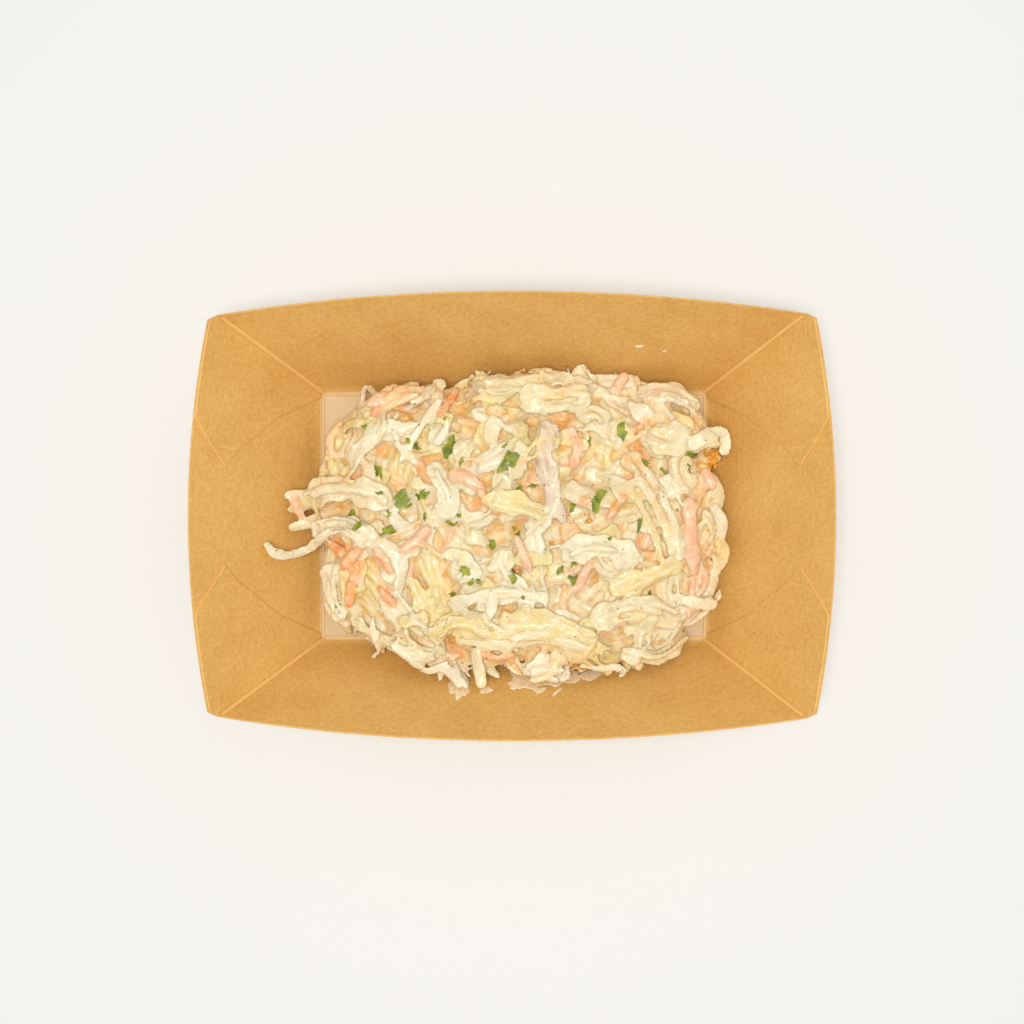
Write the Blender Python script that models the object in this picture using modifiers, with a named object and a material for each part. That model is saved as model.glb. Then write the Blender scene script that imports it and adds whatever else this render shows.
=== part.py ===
"""A portion of coleslaw in a folded kraft-board tray.

The tray is one blank: a flat base, four leaning walls with arched rims, and a glue flap
at each end of the long walls that is folded round the corner and stuck inside the short
wall. The coleslaw is a heap of shredded cabbage and carrot with chopped parsley on top.
The tray's base lies on Z = 0 and its long side runs along X.
"""

import math
import random

import bmesh
import bpy
import numpy as np
from mathutils import Vector, noise
from mathutils.bvhtree import BVHTree

MM = 0.001

# Tray
BOARD = 0.5 * MM
BASE_LENGTH = 109.0 * MM
BASE_WIDTH = 70.0 * MM
RIM_HEIGHT = 41.0 * MM
CREASE_TOP = 34.0 * MM
SHORT_WALL_LEAN = 0.653
LONG_WALL_LEAN = 0.51
WALL_BOW = 1.4 * MM
SHORT_RIM_DROP = 4.2 * MM
CHAMFER = 1.3 * MM
FLAP_SINK = 0.2 * MM
FLAP_TOP = 0.996
FLAP_FOOT = -0.004

# Glue flap, in the short wall's own measures: the distance along the rim from the wall's
# middle, with the lower and the upper edge as shares of the wall's slant height there. The
# flap ends a little inside the base and the walls that it touches.
FLAP_TIP = 14.1 * MM
FLAP_EDGE = (
    (FLAP_TIP, 0.760, 0.760),
    (19.7 * MM, 0.665, 0.878),
    (25.3 * MM, 0.535, FLAP_TOP),
    (34.5 * MM, 0.358, FLAP_TOP),
    (37.0 * MM, 0.290, FLAP_TOP),
    (42.6 * MM, 0.155, FLAP_TOP),
    (49.0 * MM, 0.010, FLAP_TOP),
)

# Heap of coleslaw
HEAP_CENTRE = (2.5 * MM, -1.5 * MM)
HEAP_HALF_LENGTH = 56.0 * MM
HEAP_HALF_WIDTH = 41.0 * MM
HEAP_SQUARENESS = 3.5
HEAP_TOP = 25.5 * MM
WIDEST_LEVEL = 8.0 * MM
HEAP_CLEARANCE = 0.45 * MM
# Bulges and hollows of the outline: direction in degrees, reach in mm, spread in degrees
HEAP_LOBES = (
    (178, 5.5, 8),
    (252, 3.5, 12),
    (278, 2.5, 10),
    (300, 1.5, 8),
    (24, 1.5, 8),
    (40, 3.5, 6),
    (70, 1.5, 12),
    (128, -2.0, 8),
    (228, -2.0, 8),
)

# Shreds and leaf pieces
SHRED_COUNT = 52
CARROT_FILL_COUNT = 4
LEAF_COUNT = 14
SHRED_LENGTHS = (15.0 * MM, 34.0 * MM)
SHRED_WIDTHS = (2.4 * MM, 4.2 * MM)
SHRED_THICKNESS = 1.5 * MM
CARROT_THICKNESS = 1.9 * MM
LEAF_THICKNESS = 1.2 * MM
SHRED_STEP = 6.0 * MM
OVERHANG = 1.0 * MM
DECK_CELL = 0.5 * MM
FLAT_ANGLE = math.radians(3)
SEED = 41

# Pieces that show by themselves: points of their route over the plan in mm, and width in mm
CABBAGE_ROUTES = {
    "left_curl": (((-49, -4), (-57, -9.5), (-63.5, -10.5), (-66.5, -7)), 3.2),
    "top_left_loop": (((-43, 27), (-41.5, 33.5), (-40, 35.5), (-36, 32)), 2.2),
    "top_left_long": (((-18, 32), (-23, 26), (-27, 20), (-30, 14)), 2.8),
    "right_end": (((43, -22), (48, -23), (52, -24), (56, -24)), 3.6),
    "centre_left_fork": (((-36, -6), (-32, -9), (-29.5, -14), (-31, -22)), 4.2),
    "lower_left_tail": (((-38, -27), (-37.5, -33), (-36.5, -36.5), (-39, -39.5)), 2.2),
    "bottom_arc": (((-32, -34), (-26.5, -39), (-22.5, -41.5), (-17, -39.5)), 2.6),
    "bottom_drop": (((-9, -35), (-9, -40), (-8.5, -43), (-8, -46.5)), 4.4),
    "bottom_spike": (((18, -40), (23, -41), (27, -40.5), (31, -41.5)), 2.6),
    "right_loop": (((47, 18), (53, 22), (57, 22), (57, 16)), 3.8),
    "right_sweep": (((31, 13), (37, 6), (41, -3), (42, -13)), 4.0),
    "top_ribbon": (((-12, 36), (-5, 39), (4, 40), (13, 38)), 3.4),
    "corner_leaf": (((40, 33), (46, 34), (50, 35), (54, 34)), 5.0),
    "lower_sweep": (((-6, -31), (6, -33), (16, -36), (26, -39)), 4.6),
}
CARROT_ROUTES = {
    "top_left_carrot": (((-39, 28), (-34, 30), (-28, 30)), 4.2),
    "left_edge_carrot": (((-50, 26), (-52, 21), (-51, 17)), 3.0),
    "left_lump_carrot": (((-56, 3), (-51, 4), (-46, 5)), 4.4),
    "left_tip_carrot": (((-60, 6), (-58.5, 1), (-56, -3)), 3.2),
    "lower_left_carrot": (((-41, -12), (-43, -18), (-44, -25)), 3.6),
    "lower_left_diagonal": (((-53, -5), (-48, -8), (-44, -11)), 3.4),
    "centre_left_carrot": (((-37, -9), (-34, -13), (-32, -17)), 3.2),
    "centre_carrot": (((-17, 10), (-12, 9), (-8, 6)), 4.0),
    "mid_stripe_carrot": (((0, -6), (3, -11), (5, -16)), 3.0),
    "centre_right_carrot": (((21, -12), (18, -17), (15, -21)), 3.0),
    "right_carrot": (((47, 3), (47.5, -6), (48, -16)), 4.2),
    "right_edge_carrot": (((51, 12), (53, 7), (54, 1)), 3.0),
    "upper_right_carrot": (((35, 22), (31, 19), (27, 16)), 2.6),
    "right_curve_carrot": (((31, -9), (36, -11), (41, -11)), 3.0),
    "bottom_carrot": (((-12, -35), (-6, -37), (0, -36)), 3.0),
    "lower_tip_carrot": (((5, -27), (8, -26), (11, -24)), 2.6),
    "top_spike": (((26, 32), (28, 36), (30, 39)), 3.0),
    "top_left_stripe": (((-15, 34), (-17, 30), (-19, 26)), 3.0),
    "far_left_pink": (((-26, -4), (-24, -7), (-29, -10)), 3.2),
}

# Larger parsley flakes: place over the plan and longest size, all in mm, and turn in degrees
PARSLEY_FLAKES = (
    (-16, 18, 7, 95),
    (-1, 14.5, 7.5, 50),
    (-37, 11.5, 5, 120),
    (-30, 4, 6, 40),
    (-24, 5, 5, 30),
    (-43, 0, 5, 30),
    (-16, -2.5, 4.5, 0),
    (-33.5, -4, 5, 15),
    (-41, -2.5, 4, 75),
    (-26, 18.5, 4, 10),
    (29, 22, 5, 95),
    (20, 19, 4.5, 60),
    (35, 14, 4.5, 120),
    (47, 16, 4.5, 160),
    (22, 4, 7.5, 65),
    (15.5, 2.5, 4, 80),
    (3, 6.5, 5, 20),
    (-5, -8, 5, 90),
    (-11, -18, 4.5, 60),
    (34, -2.5, 4.5, 70),
    (13, -14, 3.5, 60),
    (16, -12, 4, 70),
    (0, -16.5, 3.5, 110),
    (-16, -21, 3.5, 0),
)
PARSLEY_FILL_COUNT = 8
PARSLEY_THICKNESS = 0.7 * MM


def clear_scene():
    for obj in list(bpy.data.objects):
        bpy.data.objects.remove(obj)


def new_collection(name):
    collection = bpy.data.collections.new(name)
    bpy.context.scene.collection.children.link(collection)
    return collection


def new_material(name, colour, roughness):
    material = bpy.data.materials.new(name)
    material.use_nodes = True
    shader = material.node_tree.nodes["Principled BSDF"]
    shader.inputs["Base Color"].default_value = (*colour, 1.0)
    shader.inputs["Roughness"].default_value = roughness
    shader.inputs["Metallic"].default_value = 0.0
    return material


def mesh_object(name, bm, collection):
    mesh = bpy.data.meshes.new(name)
    bm.to_mesh(mesh)
    bm.free()
    obj = bpy.data.objects.new(name, mesh)
    collection.objects.link(obj)
    return obj


def frozen(obj):
    """Replaces the object's mesh by its evaluated mesh, with the modifiers gone."""
    bpy.context.view_layer.update()
    evaluated = obj.evaluated_get(bpy.context.evaluated_depsgraph_get())
    mesh = bpy.data.meshes.new_from_object(evaluated)
    obj.modifiers.clear()
    obj.data = mesh
    return obj


def keep_largest_body(obj):
    """Drops every loose scrap, which touches nothing of the main body."""
    bm = bmesh.new()
    bm.from_mesh(obj.data)
    unseen = set(bm.verts)
    bodies = []
    while unseen:
        body = set()
        front = [unseen.pop()]
        while front:
            vertex = front.pop()
            body.add(vertex)
            for edge in vertex.link_edges:
                other = edge.other_vert(vertex)
                if other in unseen:
                    unseen.remove(other)
                    front.append(other)
        bodies.append(body)
    main = max(bodies, key=len)
    scraps = [vertex for body in bodies if body is not main for vertex in body]
    bmesh.ops.delete(bm, geom=scraps, context="VERTS")
    bm.to_mesh(obj.data)
    bm.free()


def merge_flat_faces(obj):
    """Merges neighbouring faces that lie nearly in one plane."""
    bm = bmesh.new()
    bm.from_mesh(obj.data)
    bmesh.ops.dissolve_limit(bm, angle_limit=FLAT_ANGLE, verts=bm.verts, edges=bm.edges)
    bmesh.ops.triangulate(bm, faces=bm.faces)
    bm.to_mesh(obj.data)
    bm.free()


def fuse(obj, collection, solver):
    """Joins a collection's pieces to the object and removes them."""
    join = obj.modifiers.new("fuse", "BOOLEAN")
    join.operation = "UNION"
    join.operand_type = "COLLECTION"
    join.collection = collection
    join.solver = solver
    frozen(obj)
    for piece in list(collection.objects):
        bpy.data.objects.remove(piece)
    bpy.data.collections.remove(collection)


# Tray


def long_rim(share):
    """Inner rim point of the +Y wall, with share from -1 to 1 along the wall."""
    z = RIM_HEIGHT - (RIM_HEIGHT - CREASE_TOP) * share**2
    y = BASE_WIDTH / 2 + LONG_WALL_LEAN * (z - BOARD) + WALL_BOW * (1 - share**2)
    x = (BASE_LENGTH / 2 + SHORT_WALL_LEAN * (CREASE_TOP - BOARD)) * share
    return Vector((x, y, z))


def crease_width():
    """Distance from the X axis to the top of a corner crease."""
    return long_rim(1.0).y


def short_rim(y):
    """Inner rim point of the +X wall at a distance y from the wall's middle line."""
    half = crease_width()
    straight = half - CHAMFER
    z = RIM_HEIGHT - SHORT_RIM_DROP * min(1.0, abs(y) / straight) ** 2
    if abs(y) > straight:
        z += (CREASE_TOP - z) * (abs(y) - straight) / CHAMFER
    lean = SHORT_WALL_LEAN * (z - BOARD)
    x = BASE_LENGTH / 2 + lean + WALL_BOW * (1 - (y / half) ** 2)
    return Vector((x, y, z))


def short_wall_point(y, rise):
    """Point of the +X wall's inner face: y is read at the rim, rise goes from 0 to 1."""
    foot = Vector((BASE_LENGTH / 2, BASE_WIDTH / 2 * y / crease_width(), BOARD))
    return foot.lerp(short_rim(y), rise)


def wall_rows(bm, feet, rims, rows):
    """A wall as rows of faces between the points at its foot and at its rim."""
    previous = [bm.verts.new(point) for point in feet]
    for row in range(1, rows + 1):
        points = [foot.lerp(rim, row / rows) for foot, rim in zip(feet, rims)]
        current = [bm.verts.new(point) for point in points]
        for i in range(len(points) - 1):
            bm.faces.new((previous[i], previous[i + 1], current[i + 1], current[i]))
        previous = current


def tray_shell(collection):
    """The folded blank without its glue flaps."""
    bm = bmesh.new()
    long_steps, short_steps, rows = 16, 12, 2
    shares = [2 * i / long_steps - 1 for i in range(long_steps + 1)]
    half = crease_width()
    inner = [(2 * i / short_steps - 1) * (half - CHAMFER) for i in range(short_steps + 1)]
    across = [-half, *inner, half]
    long_feet = [Vector((BASE_LENGTH / 2 * s, BASE_WIDTH / 2, BOARD)) for s in shares]
    long_rims = [long_rim(s) for s in shares]
    short_feet = [short_wall_point(y, 0.0) for y in across]
    short_rims = [short_rim(y) for y in across]
    for turn in (1, -1):
        flip = Vector((turn, turn, 1))
        wall_rows(bm, [p * flip for p in long_feet], [p * flip for p in long_rims], rows)
        wall_rows(bm, [p * flip for p in short_feet], [p * flip for p in short_rims], rows)
    bmesh.ops.remove_doubles(bm, verts=bm.verts, dist=0.01 * MM)
    low = [edge for edge in bm.edges if all(v.co.z < BOARD + 0.01 * MM for v in edge.verts)]
    bmesh.ops.contextual_create(bm, geom=low)
    bmesh.ops.recalc_face_normals(bm, faces=bm.faces)
    base = min(bm.faces, key=lambda face: face.calc_center_median().z)
    if base.normal.z < 0:
        bmesh.ops.reverse_faces(bm, faces=bm.faces)
    obj = mesh_object("tray", bm, collection)
    add_thickness(obj, BOARD, -1.0)
    frozen(obj)
    for vertex in obj.data.vertices:
        if vertex.co.z < BOARD / 2:
            vertex.co.z = 0.0
    return obj


def add_thickness(obj, thickness, offset):
    solidify = obj.modifiers.new("board", "SOLIDIFY")
    solidify.solidify_mode = "NON_MANIFOLD"
    solidify.nonmanifold_thickness_mode = "CONSTRAINTS"
    solidify.thickness = thickness
    solidify.offset = offset
    solidify.nonmanifold_merge_threshold = 0.00001


def glue_flap(collection, name, side_x, side_y):
    """One flap: a board on the inner face of a short wall, sunk a little into it."""
    places, lows, highs = zip(*FLAP_EDGE)
    half = crease_width()
    columns = [*places, half - CHAMFER, half + FLAP_SINK]
    bm = bmesh.new()
    lower, upper = [], []
    for y in columns:
        low = np.interp(y, places, lows, right=FLAP_FOOT)
        high = np.interp(y, places, highs)
        lower.append(short_wall_point(y, low))
        upper.append(short_wall_point(y, high))
    flip = Vector((side_x, side_y, 1))
    wall_rows(bm, [p * flip for p in lower], [p * flip for p in upper], 3)
    bmesh.ops.remove_doubles(bm, verts=bm.verts, dist=0.01 * MM)
    bmesh.ops.recalc_face_normals(bm, faces=bm.faces)
    if sum(face.normal.x * face.calc_area() for face in bm.faces) * side_x > 0:
        bmesh.ops.reverse_faces(bm, faces=bm.faces)
    obj = mesh_object(name, bm, collection)
    inwards = 2 * BOARD / (BOARD + FLAP_SINK) - 1
    add_thickness(obj, BOARD + FLAP_SINK, inwards)
    return frozen(obj)


def make_tray(collection, material):
    tray = tray_shell(collection)
    flaps = new_collection("glue_flaps")
    for side_x in (1, -1):
        for side_y in (1, -1):
            glue_flap(flaps, f"flap_{side_x}_{side_y}", side_x, side_y)
    fuse(tray, flaps, "MANIFOLD")
    tray.data.materials.clear()
    tray.data.materials.append(material)
    return tray


def tray_inside(x, y):
    """Height of the tray's inside over a point of the plan, flaps included."""
    short = (abs(x) + 1.3 * BOARD - BASE_LENGTH / 2) / SHORT_WALL_LEAN
    long = (abs(y) - BASE_WIDTH / 2) / LONG_WALL_LEAN
    return BOARD + max(0.0, short, long)


# Coleslaw


def outline_reach(azimuth):
    """Distance from the heap's centre to its widest line."""
    along = abs(math.cos(azimuth) / HEAP_HALF_LENGTH) ** HEAP_SQUARENESS
    across = abs(math.sin(azimuth) / HEAP_HALF_WIDTH) ** HEAP_SQUARENESS
    reach = (along + across) ** (-1 / HEAP_SQUARENESS)
    for direction, amount, spread in HEAP_LOBES:
        gap = (azimuth - math.radians(direction) + math.pi) % math.tau - math.pi
        reach += amount * MM * math.exp(-((gap / math.radians(spread)) ** 2))
    return reach


def plan_point(azimuth, reach):
    x = HEAP_CENTRE[0] + reach * math.cos(azimuth)
    y = HEAP_CENTRE[1] + reach * math.sin(azimuth)
    return x, y


def floor_reach(azimuth):
    """Distance from the heap's centre to the edge of its foot on the tray's base."""
    inset = 1.5 * MM
    reach = outline_reach(azimuth) - inset
    while True:
        x, y = plan_point(azimuth, reach)
        if abs(x) < BASE_LENGTH / 2 - inset and abs(y) < BASE_WIDTH / 2 - inset:
            return reach
        reach -= 0.5 * MM


def heap_point(azimuth, latitude):
    """Where a point of a unit sphere goes on the bare heap."""
    reach = outline_reach(azimuth) - 2.0 * MM
    x, y = plan_point(azimuth, reach)
    level = max(WIDEST_LEVEL, tray_inside(x, y) + HEAP_CLEARANCE)
    if latitude >= 0:
        share = math.cos(latitude)
        x, y = plan_point(azimuth, reach * share)
        swell = (1 - share**2.6) ** 0.58 if share < 1 else 0.0
        lumps = noise.noise(Vector((x, y, 0.0)) / (11 * MM)) * 2.6 * MM * swell
        return Vector((x, y, level + (HEAP_TOP - level) * swell + lumps))
    foot = Vector((*plan_point(azimuth, floor_reach(azimuth)), BOARD + HEAP_CLEARANCE))
    depth = min(1.0, -latitude / math.radians(46))
    if depth < 1:
        return Vector((x, y, level)).lerp(foot, depth)
    centre = Vector((*HEAP_CENTRE, foot.z))
    return foot.lerp(centre, (-latitude - math.radians(46)) / math.radians(44))


def heap_core(collection):
    bm = bmesh.new()
    bmesh.ops.create_uvsphere(bm, u_segments=36, v_segments=12, radius=1.0)
    for vertex in bm.verts:
        azimuth = math.atan2(vertex.co.y, vertex.co.x)
        latitude = math.asin(max(-1.0, min(1.0, vertex.co.z)))
        vertex.co = heap_point(azimuth, latitude)
    bmesh.ops.triangulate(bm, faces=bm.faces)
    return mesh_object("coleslaw", bm, collection)


class Deck:
    """The height of what lies uppermost in the tray, on square cells of the plan."""

    def __init__(self, core):
        self.half_x, self.half_y = 76 * MM, 56 * MM
        bm = bmesh.new()
        bm.from_mesh(core.data)
        tree = BVHTree.FromBMesh(bm)
        bm.free()
        columns = round(2 * self.half_x / DECK_CELL)
        rows = round(2 * self.half_y / DECK_CELL)
        self.heights = np.zeros((columns, rows))
        for i in range(columns):
            for j in range(rows):
                x, y = self.centre_of(i, j)
                hit = tree.ray_cast(Vector((x, y, 1.0)), Vector((0, 0, -1)))[0]
                floor = tray_inside(x, y) + HEAP_CLEARANCE
                self.heights[i, j] = max(hit.z if hit else 0.0, floor)

    def centre_of(self, i, j):
        return (i + 0.5) * DECK_CELL - self.half_x, (j + 0.5) * DECK_CELL - self.half_y

    def cell_of(self, x, y):
        i = int((x + self.half_x) / DECK_CELL)
        j = int((y + self.half_y) / DECK_CELL)
        last_i, last_j = (n - 1 for n in self.heights.shape)
        return min(max(i, 0), last_i), min(max(j, 0), last_j)

    def height(self, x, y):
        return self.heights[self.cell_of(x, y)]

    def bury(self, points, half_width, half_thickness):
        """Raises the cells under a piece that follows the points."""
        around = math.ceil(half_width / DECK_CELL)
        for point in points:
            i, j = self.cell_of(point.x, point.y)
            area = self.heights[i - around : i + around + 1, j - around : j + around + 1]
            np.maximum(area, point.z + half_thickness, out=area)


def smooth_route(points, steps):
    """A smooth line through the points, cut into equal steps (Catmull-Rom)."""
    ends = [points[0] * 2 - points[1], *points, points[-1] * 2 - points[-2]]
    dense = []
    for a, b, c, d in zip(ends, ends[1:], ends[2:], ends[3:]):
        for k in range(8):
            t = k / 8
            dense.append(
                0.5
                * (
                    2 * b
                    + (c - a) * t
                    + (2 * a - 5 * b + 4 * c - d) * t**2
                    + (3 * b - a - 3 * c + d) * t**3
                )
            )
    dense.append(points[-1])
    reach = [0.0]
    for a, b in zip(dense, dense[1:]):
        reach.append(reach[-1] + (b - a).length)
    at = np.linspace(0, reach[-1], steps + 1)
    return [Vector((np.interp(at[i], reach, [p.x for p in dense]),
                    np.interp(at[i], reach, [p.y for p in dense]))) for i in range(steps + 1)]


def curved_route(x, y, heading, length, curl, steps):
    """An arc over the plan whose middle is at x, y and that turns by curl in all."""
    step = length / steps
    points = [Vector((0.0, 0.0))]
    for i in range(steps):
        turn = heading + curl * ((i + 0.5) / steps - 0.5)
        points.append(points[-1] + Vector((math.cos(turn), math.sin(turn))) * step)
    middle = points[steps // 2]
    return [point - middle + Vector((x, y)) for point in points]


def held_in(route):
    """Moves a route towards the heap's middle until no point strays past the outline."""
    middle = Vector(HEAP_CENTRE)
    for _ in range(3):
        for i in range(len(route)):
            offset = route[i] - middle
            limit = outline_reach(math.atan2(offset.y, offset.x)) + OVERHANG
            if offset.length > limit:
                shift = offset.normalized() * (offset.length - limit)
                route = [point - shift for point in route]
    return route


def draped(route, thickness, deck, sink):
    """The route laid over the heap: stiff enough to bridge small hollows."""
    heights = [deck.height(point.x, point.y) for point in route]
    padded = [heights[0], *heights, heights[-1]]
    bridged = [max(h, (a + b) / 2) for a, h, b in zip(padded, heights, padded[2:])]
    lift = thickness / 2 - sink
    return [Vector((p.x, p.y, h + lift)) for p, h in zip(route, bridged)]


def strip(name, points, width, thickness, collection):
    """A strip of rectangular section that follows the points and narrows at its ends."""
    section = bpy.data.curves.new("section", "CURVE")
    outline = section.splines.new("POLY")
    outline.points.add(3)
    corners = ((-1, -1), (1, -1), (0.8, 1), (-0.8, 1))
    for point, (across, up) in zip(outline.points, corners):
        point.co = (across * width / 2, up * thickness / 2, 0.0, 1.0)
    outline.use_cyclic_u = True
    profile = bpy.data.objects.new("section", section)
    path = bpy.data.curves.new(name, "CURVE")
    path.dimensions = "3D"
    path.twist_mode = "Z_UP"
    path.bevel_mode = "OBJECT"
    path.bevel_object = profile
    path.use_fill_caps = True
    line = path.splines.new("POLY")
    line.points.add(len(points) - 1)
    last = len(points) - 1
    for i, (point, place) in enumerate(zip(line.points, points)):
        point.co = (*place, 1.0)
        point.radius = 0.62 if i in (0, last) else 1.0
    guide = bpy.data.objects.new(name, path)
    collection.objects.link(guide)
    bpy.context.view_layer.update()
    evaluated = guide.evaluated_get(bpy.context.evaluated_depsgraph_get())
    mesh = bpy.data.meshes.new_from_object(evaluated)
    mesh.transform(guide.matrix_world)
    for helper in (guide, profile):
        bpy.data.objects.remove(helper)
    bm = bmesh.new()
    bm.from_mesh(mesh)
    bmesh.ops.remove_doubles(bm, verts=bm.verts, dist=0.01 * MM)
    bmesh.ops.triangulate(bm, faces=bm.faces)
    bmesh.ops.recalc_face_normals(bm, faces=bm.faces)
    bpy.data.meshes.remove(mesh)
    return mesh_object(name, bm, collection)


def clear_of_tray(obj):
    """Lifts each vertex that would touch the tray, keeping upper ones above lower ones."""
    for vertex in obj.data.vertices:
        floor = tray_inside(vertex.co.x, vertex.co.y) + HEAP_CLEARANCE
        if vertex.normal.z > 0:
            floor += 1.0 * MM
        vertex.co.z = max(vertex.co.z, floor)


def lay_strip(name, route, width, thickness, deck, collection):
    points = draped(route, thickness, deck, 0.35 * thickness)
    piece = strip(name, points, width, thickness, collection)
    clear_of_tray(piece)
    deck.bury(smooth_heights(points), width / 2, thickness / 2)


def smooth_heights(points):
    """More points along the line, close enough to raise every cell under a piece."""
    fine = []
    for a, b in zip(points, points[1:]):
        count = max(1, math.ceil((b - a).length / (2 * DECK_CELL)))
        fine += [a.lerp(b, i / count) for i in range(count)]
    return [*fine, points[-1]]


def leaf_piece(name, x, y, turn, length, width, deck, collection, rng):
    """A thin wavy piece of leaf laid on the heap."""
    bm = bmesh.new()
    bmesh.ops.create_grid(bm, x_segments=4, y_segments=2, size=0.5)
    phase = rng.uniform(0, math.tau)
    direction = Vector((math.cos(turn), math.sin(turn)))
    side = Vector((-direction.y, direction.x))
    for vertex in bm.verts:
        u, v = vertex.co.x * 2, vertex.co.y * 2
        narrow = 1 - 0.35 * u**2
        flat = Vector((x, y)) + direction * u * length / 2
        flat += side * (v * narrow + 0.18 * math.sin(2.2 * u + phase)) * width / 2
        wave = 0.9 * MM * math.sin(2.6 * u + 1.7 * v + phase)
        height = deck.height(flat.x, flat.y) + wave + 0.2 * MM
        vertex.co = Vector((flat.x, flat.y, height))
    bmesh.ops.triangulate(bm, faces=bm.faces)
    bmesh.ops.recalc_face_normals(bm, faces=bm.faces)
    if sum(face.normal.z for face in bm.faces) < 0:
        bmesh.ops.reverse_faces(bm, faces=bm.faces)
    leaf = mesh_object(name, bm, collection)
    solidify = leaf.modifiers.new("thickness", "SOLIDIFY")
    solidify.thickness = LEAF_THICKNESS
    solidify.offset = 0.0
    frozen(leaf)
    clear_of_tray(leaf)
    middle = [Vector((x, y)) + direction * length * 0.35 * s for s in (-1, -0.5, 0, 0.5, 1)]
    spine = [Vector((p.x, p.y, deck.height(p.x, p.y) + 0.2 * MM)) for p in middle]
    deck.bury(smooth_heights(spine), width * 0.4, LEAF_THICKNESS / 2)


def parsley_flake(name, x, y, size, turn, deck, collection, rng):
    """A chopped bit of parsley leaf, lying on the heap and sunk into the dressing."""
    corners = 6
    bm = bmesh.new()
    bmesh.ops.create_cone(
        bm,
        segments=corners,
        radius1=0.5,
        radius2=0.5,
        depth=PARSLEY_THICKNESS,
        cap_ends=True,
        cap_tris=False,
    )
    reaches = [rng.uniform(0.7, 1.15) for _ in range(corners)]
    for vertex in bm.verts:
        azimuth = math.atan2(vertex.co.y, vertex.co.x)
        reach = reaches[round(azimuth / math.tau * corners) % corners] * size / 2
        u, v = math.cos(azimuth) * reach, math.sin(azimuth) * reach * 0.6
        px = x + u * math.cos(turn) - v * math.sin(turn)
        py = y + u * math.sin(turn) + v * math.cos(turn)
        vertex.co.x, vertex.co.y = px, py
        vertex.co.z += (deck.height(px, py) + 2 * deck.height(x, y)) / 3
    bmesh.ops.triangulate(bm, faces=bm.faces)
    mesh_object(name, bm, collection)


def fill_places(count, rng, reach_share):
    """Places spread evenly over the heap's plan by the golden angle, with a small jitter."""
    golden = math.pi * (3 - math.sqrt(5))
    for i in range(count):
        azimuth = i * golden + rng.uniform(-0.3, 0.3)
        reach = outline_reach(azimuth) * math.sqrt((i + 0.5) / count) * reach_share
        yield plan_point(azimuth, reach)


def route_steps(points):
    length = sum((b - a).length for a, b in zip(points, points[1:]))
    return max(3, round(length / SHRED_STEP))


def make_coleslaw(collection, material):
    rng = random.Random(SEED)
    core = heap_core(collection)
    deck = Deck(core)
    pieces = new_collection("heap_pieces")
    for n, (x, y) in enumerate(fill_places(LEAF_COUNT, rng, 0.78)):
        turn = rng.uniform(0, math.pi)
        length = rng.uniform(13, 20) * MM
        width = rng.uniform(7, 11) * MM
        leaf_piece(f"leaf_{n}", x, y, turn, length, width, deck, pieces, rng)
    for n, (x, y) in enumerate(fill_places(SHRED_COUNT, rng, 0.93)):
        length = rng.uniform(*SHRED_LENGTHS)
        heading, curl = rng.uniform(0, math.pi), rng.uniform(-1.6, 1.6)
        steps = max(3, round(length / SHRED_STEP))
        route = held_in(curved_route(x, y, heading, length, curl, steps))
        width = rng.uniform(*SHRED_WIDTHS)
        lay_strip(f"shred_{n}", route, width, SHRED_THICKNESS, deck, pieces)
    for n, (x, y) in enumerate(fill_places(CARROT_FILL_COUNT, rng, 0.7)):
        route = curved_route(x, y, rng.uniform(0, math.pi), 13 * MM, 0.5, 3)
        lay_strip(f"carrot_{n}", route, 2.6 * MM, CARROT_THICKNESS, deck, pieces)
    for routes, thickness in ((CARROT_ROUTES, CARROT_THICKNESS), (CABBAGE_ROUTES, SHRED_THICKNESS)):
        for name, (places, width) in routes.items():
            points = [Vector(place) * MM for place in places]
            route = smooth_route(points, route_steps(points))
            lay_strip(name, route, width * MM, thickness, deck, pieces)
    flakes = [(x * MM, y * MM, size * MM, turn) for x, y, size, turn in PARSLEY_FLAKES]
    for x, y in fill_places(PARSLEY_FILL_COUNT, rng, 0.75):
        flakes.append((x, y, rng.uniform(2.2, 3.2) * MM, rng.uniform(0, 180)))
    for n, (x, y, size, turn) in enumerate(flakes):
        parsley_flake(f"parsley_{n}", x, y, size, math.radians(turn), deck, pieces, rng)
    fuse(core, pieces, "MANIFOLD")
    keep_largest_body(core)
    merge_flat_faces(core)
    core.data.materials.clear()
    core.data.materials.append(material)
    return core


def main():
    clear_scene()
    collection = new_collection("coleslaw_in_tray")
    kraft = new_material("kraft_board", (0.76, 0.42, 0.12), 0.75)
    dressed = new_material("dressed_cabbage", (0.90, 0.78, 0.55), 0.35)
    make_tray(collection, kraft)
    make_coleslaw(collection, dressed)


main()
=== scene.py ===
"""The looks of a portion of coleslaw in a folded kraft-board tray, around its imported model."""

import math
import random

import bmesh
import bpy
import numpy as np
from mathutils import Matrix, Vector, kdtree, noise
from mathutils.bvhtree import BVHTree


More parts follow.
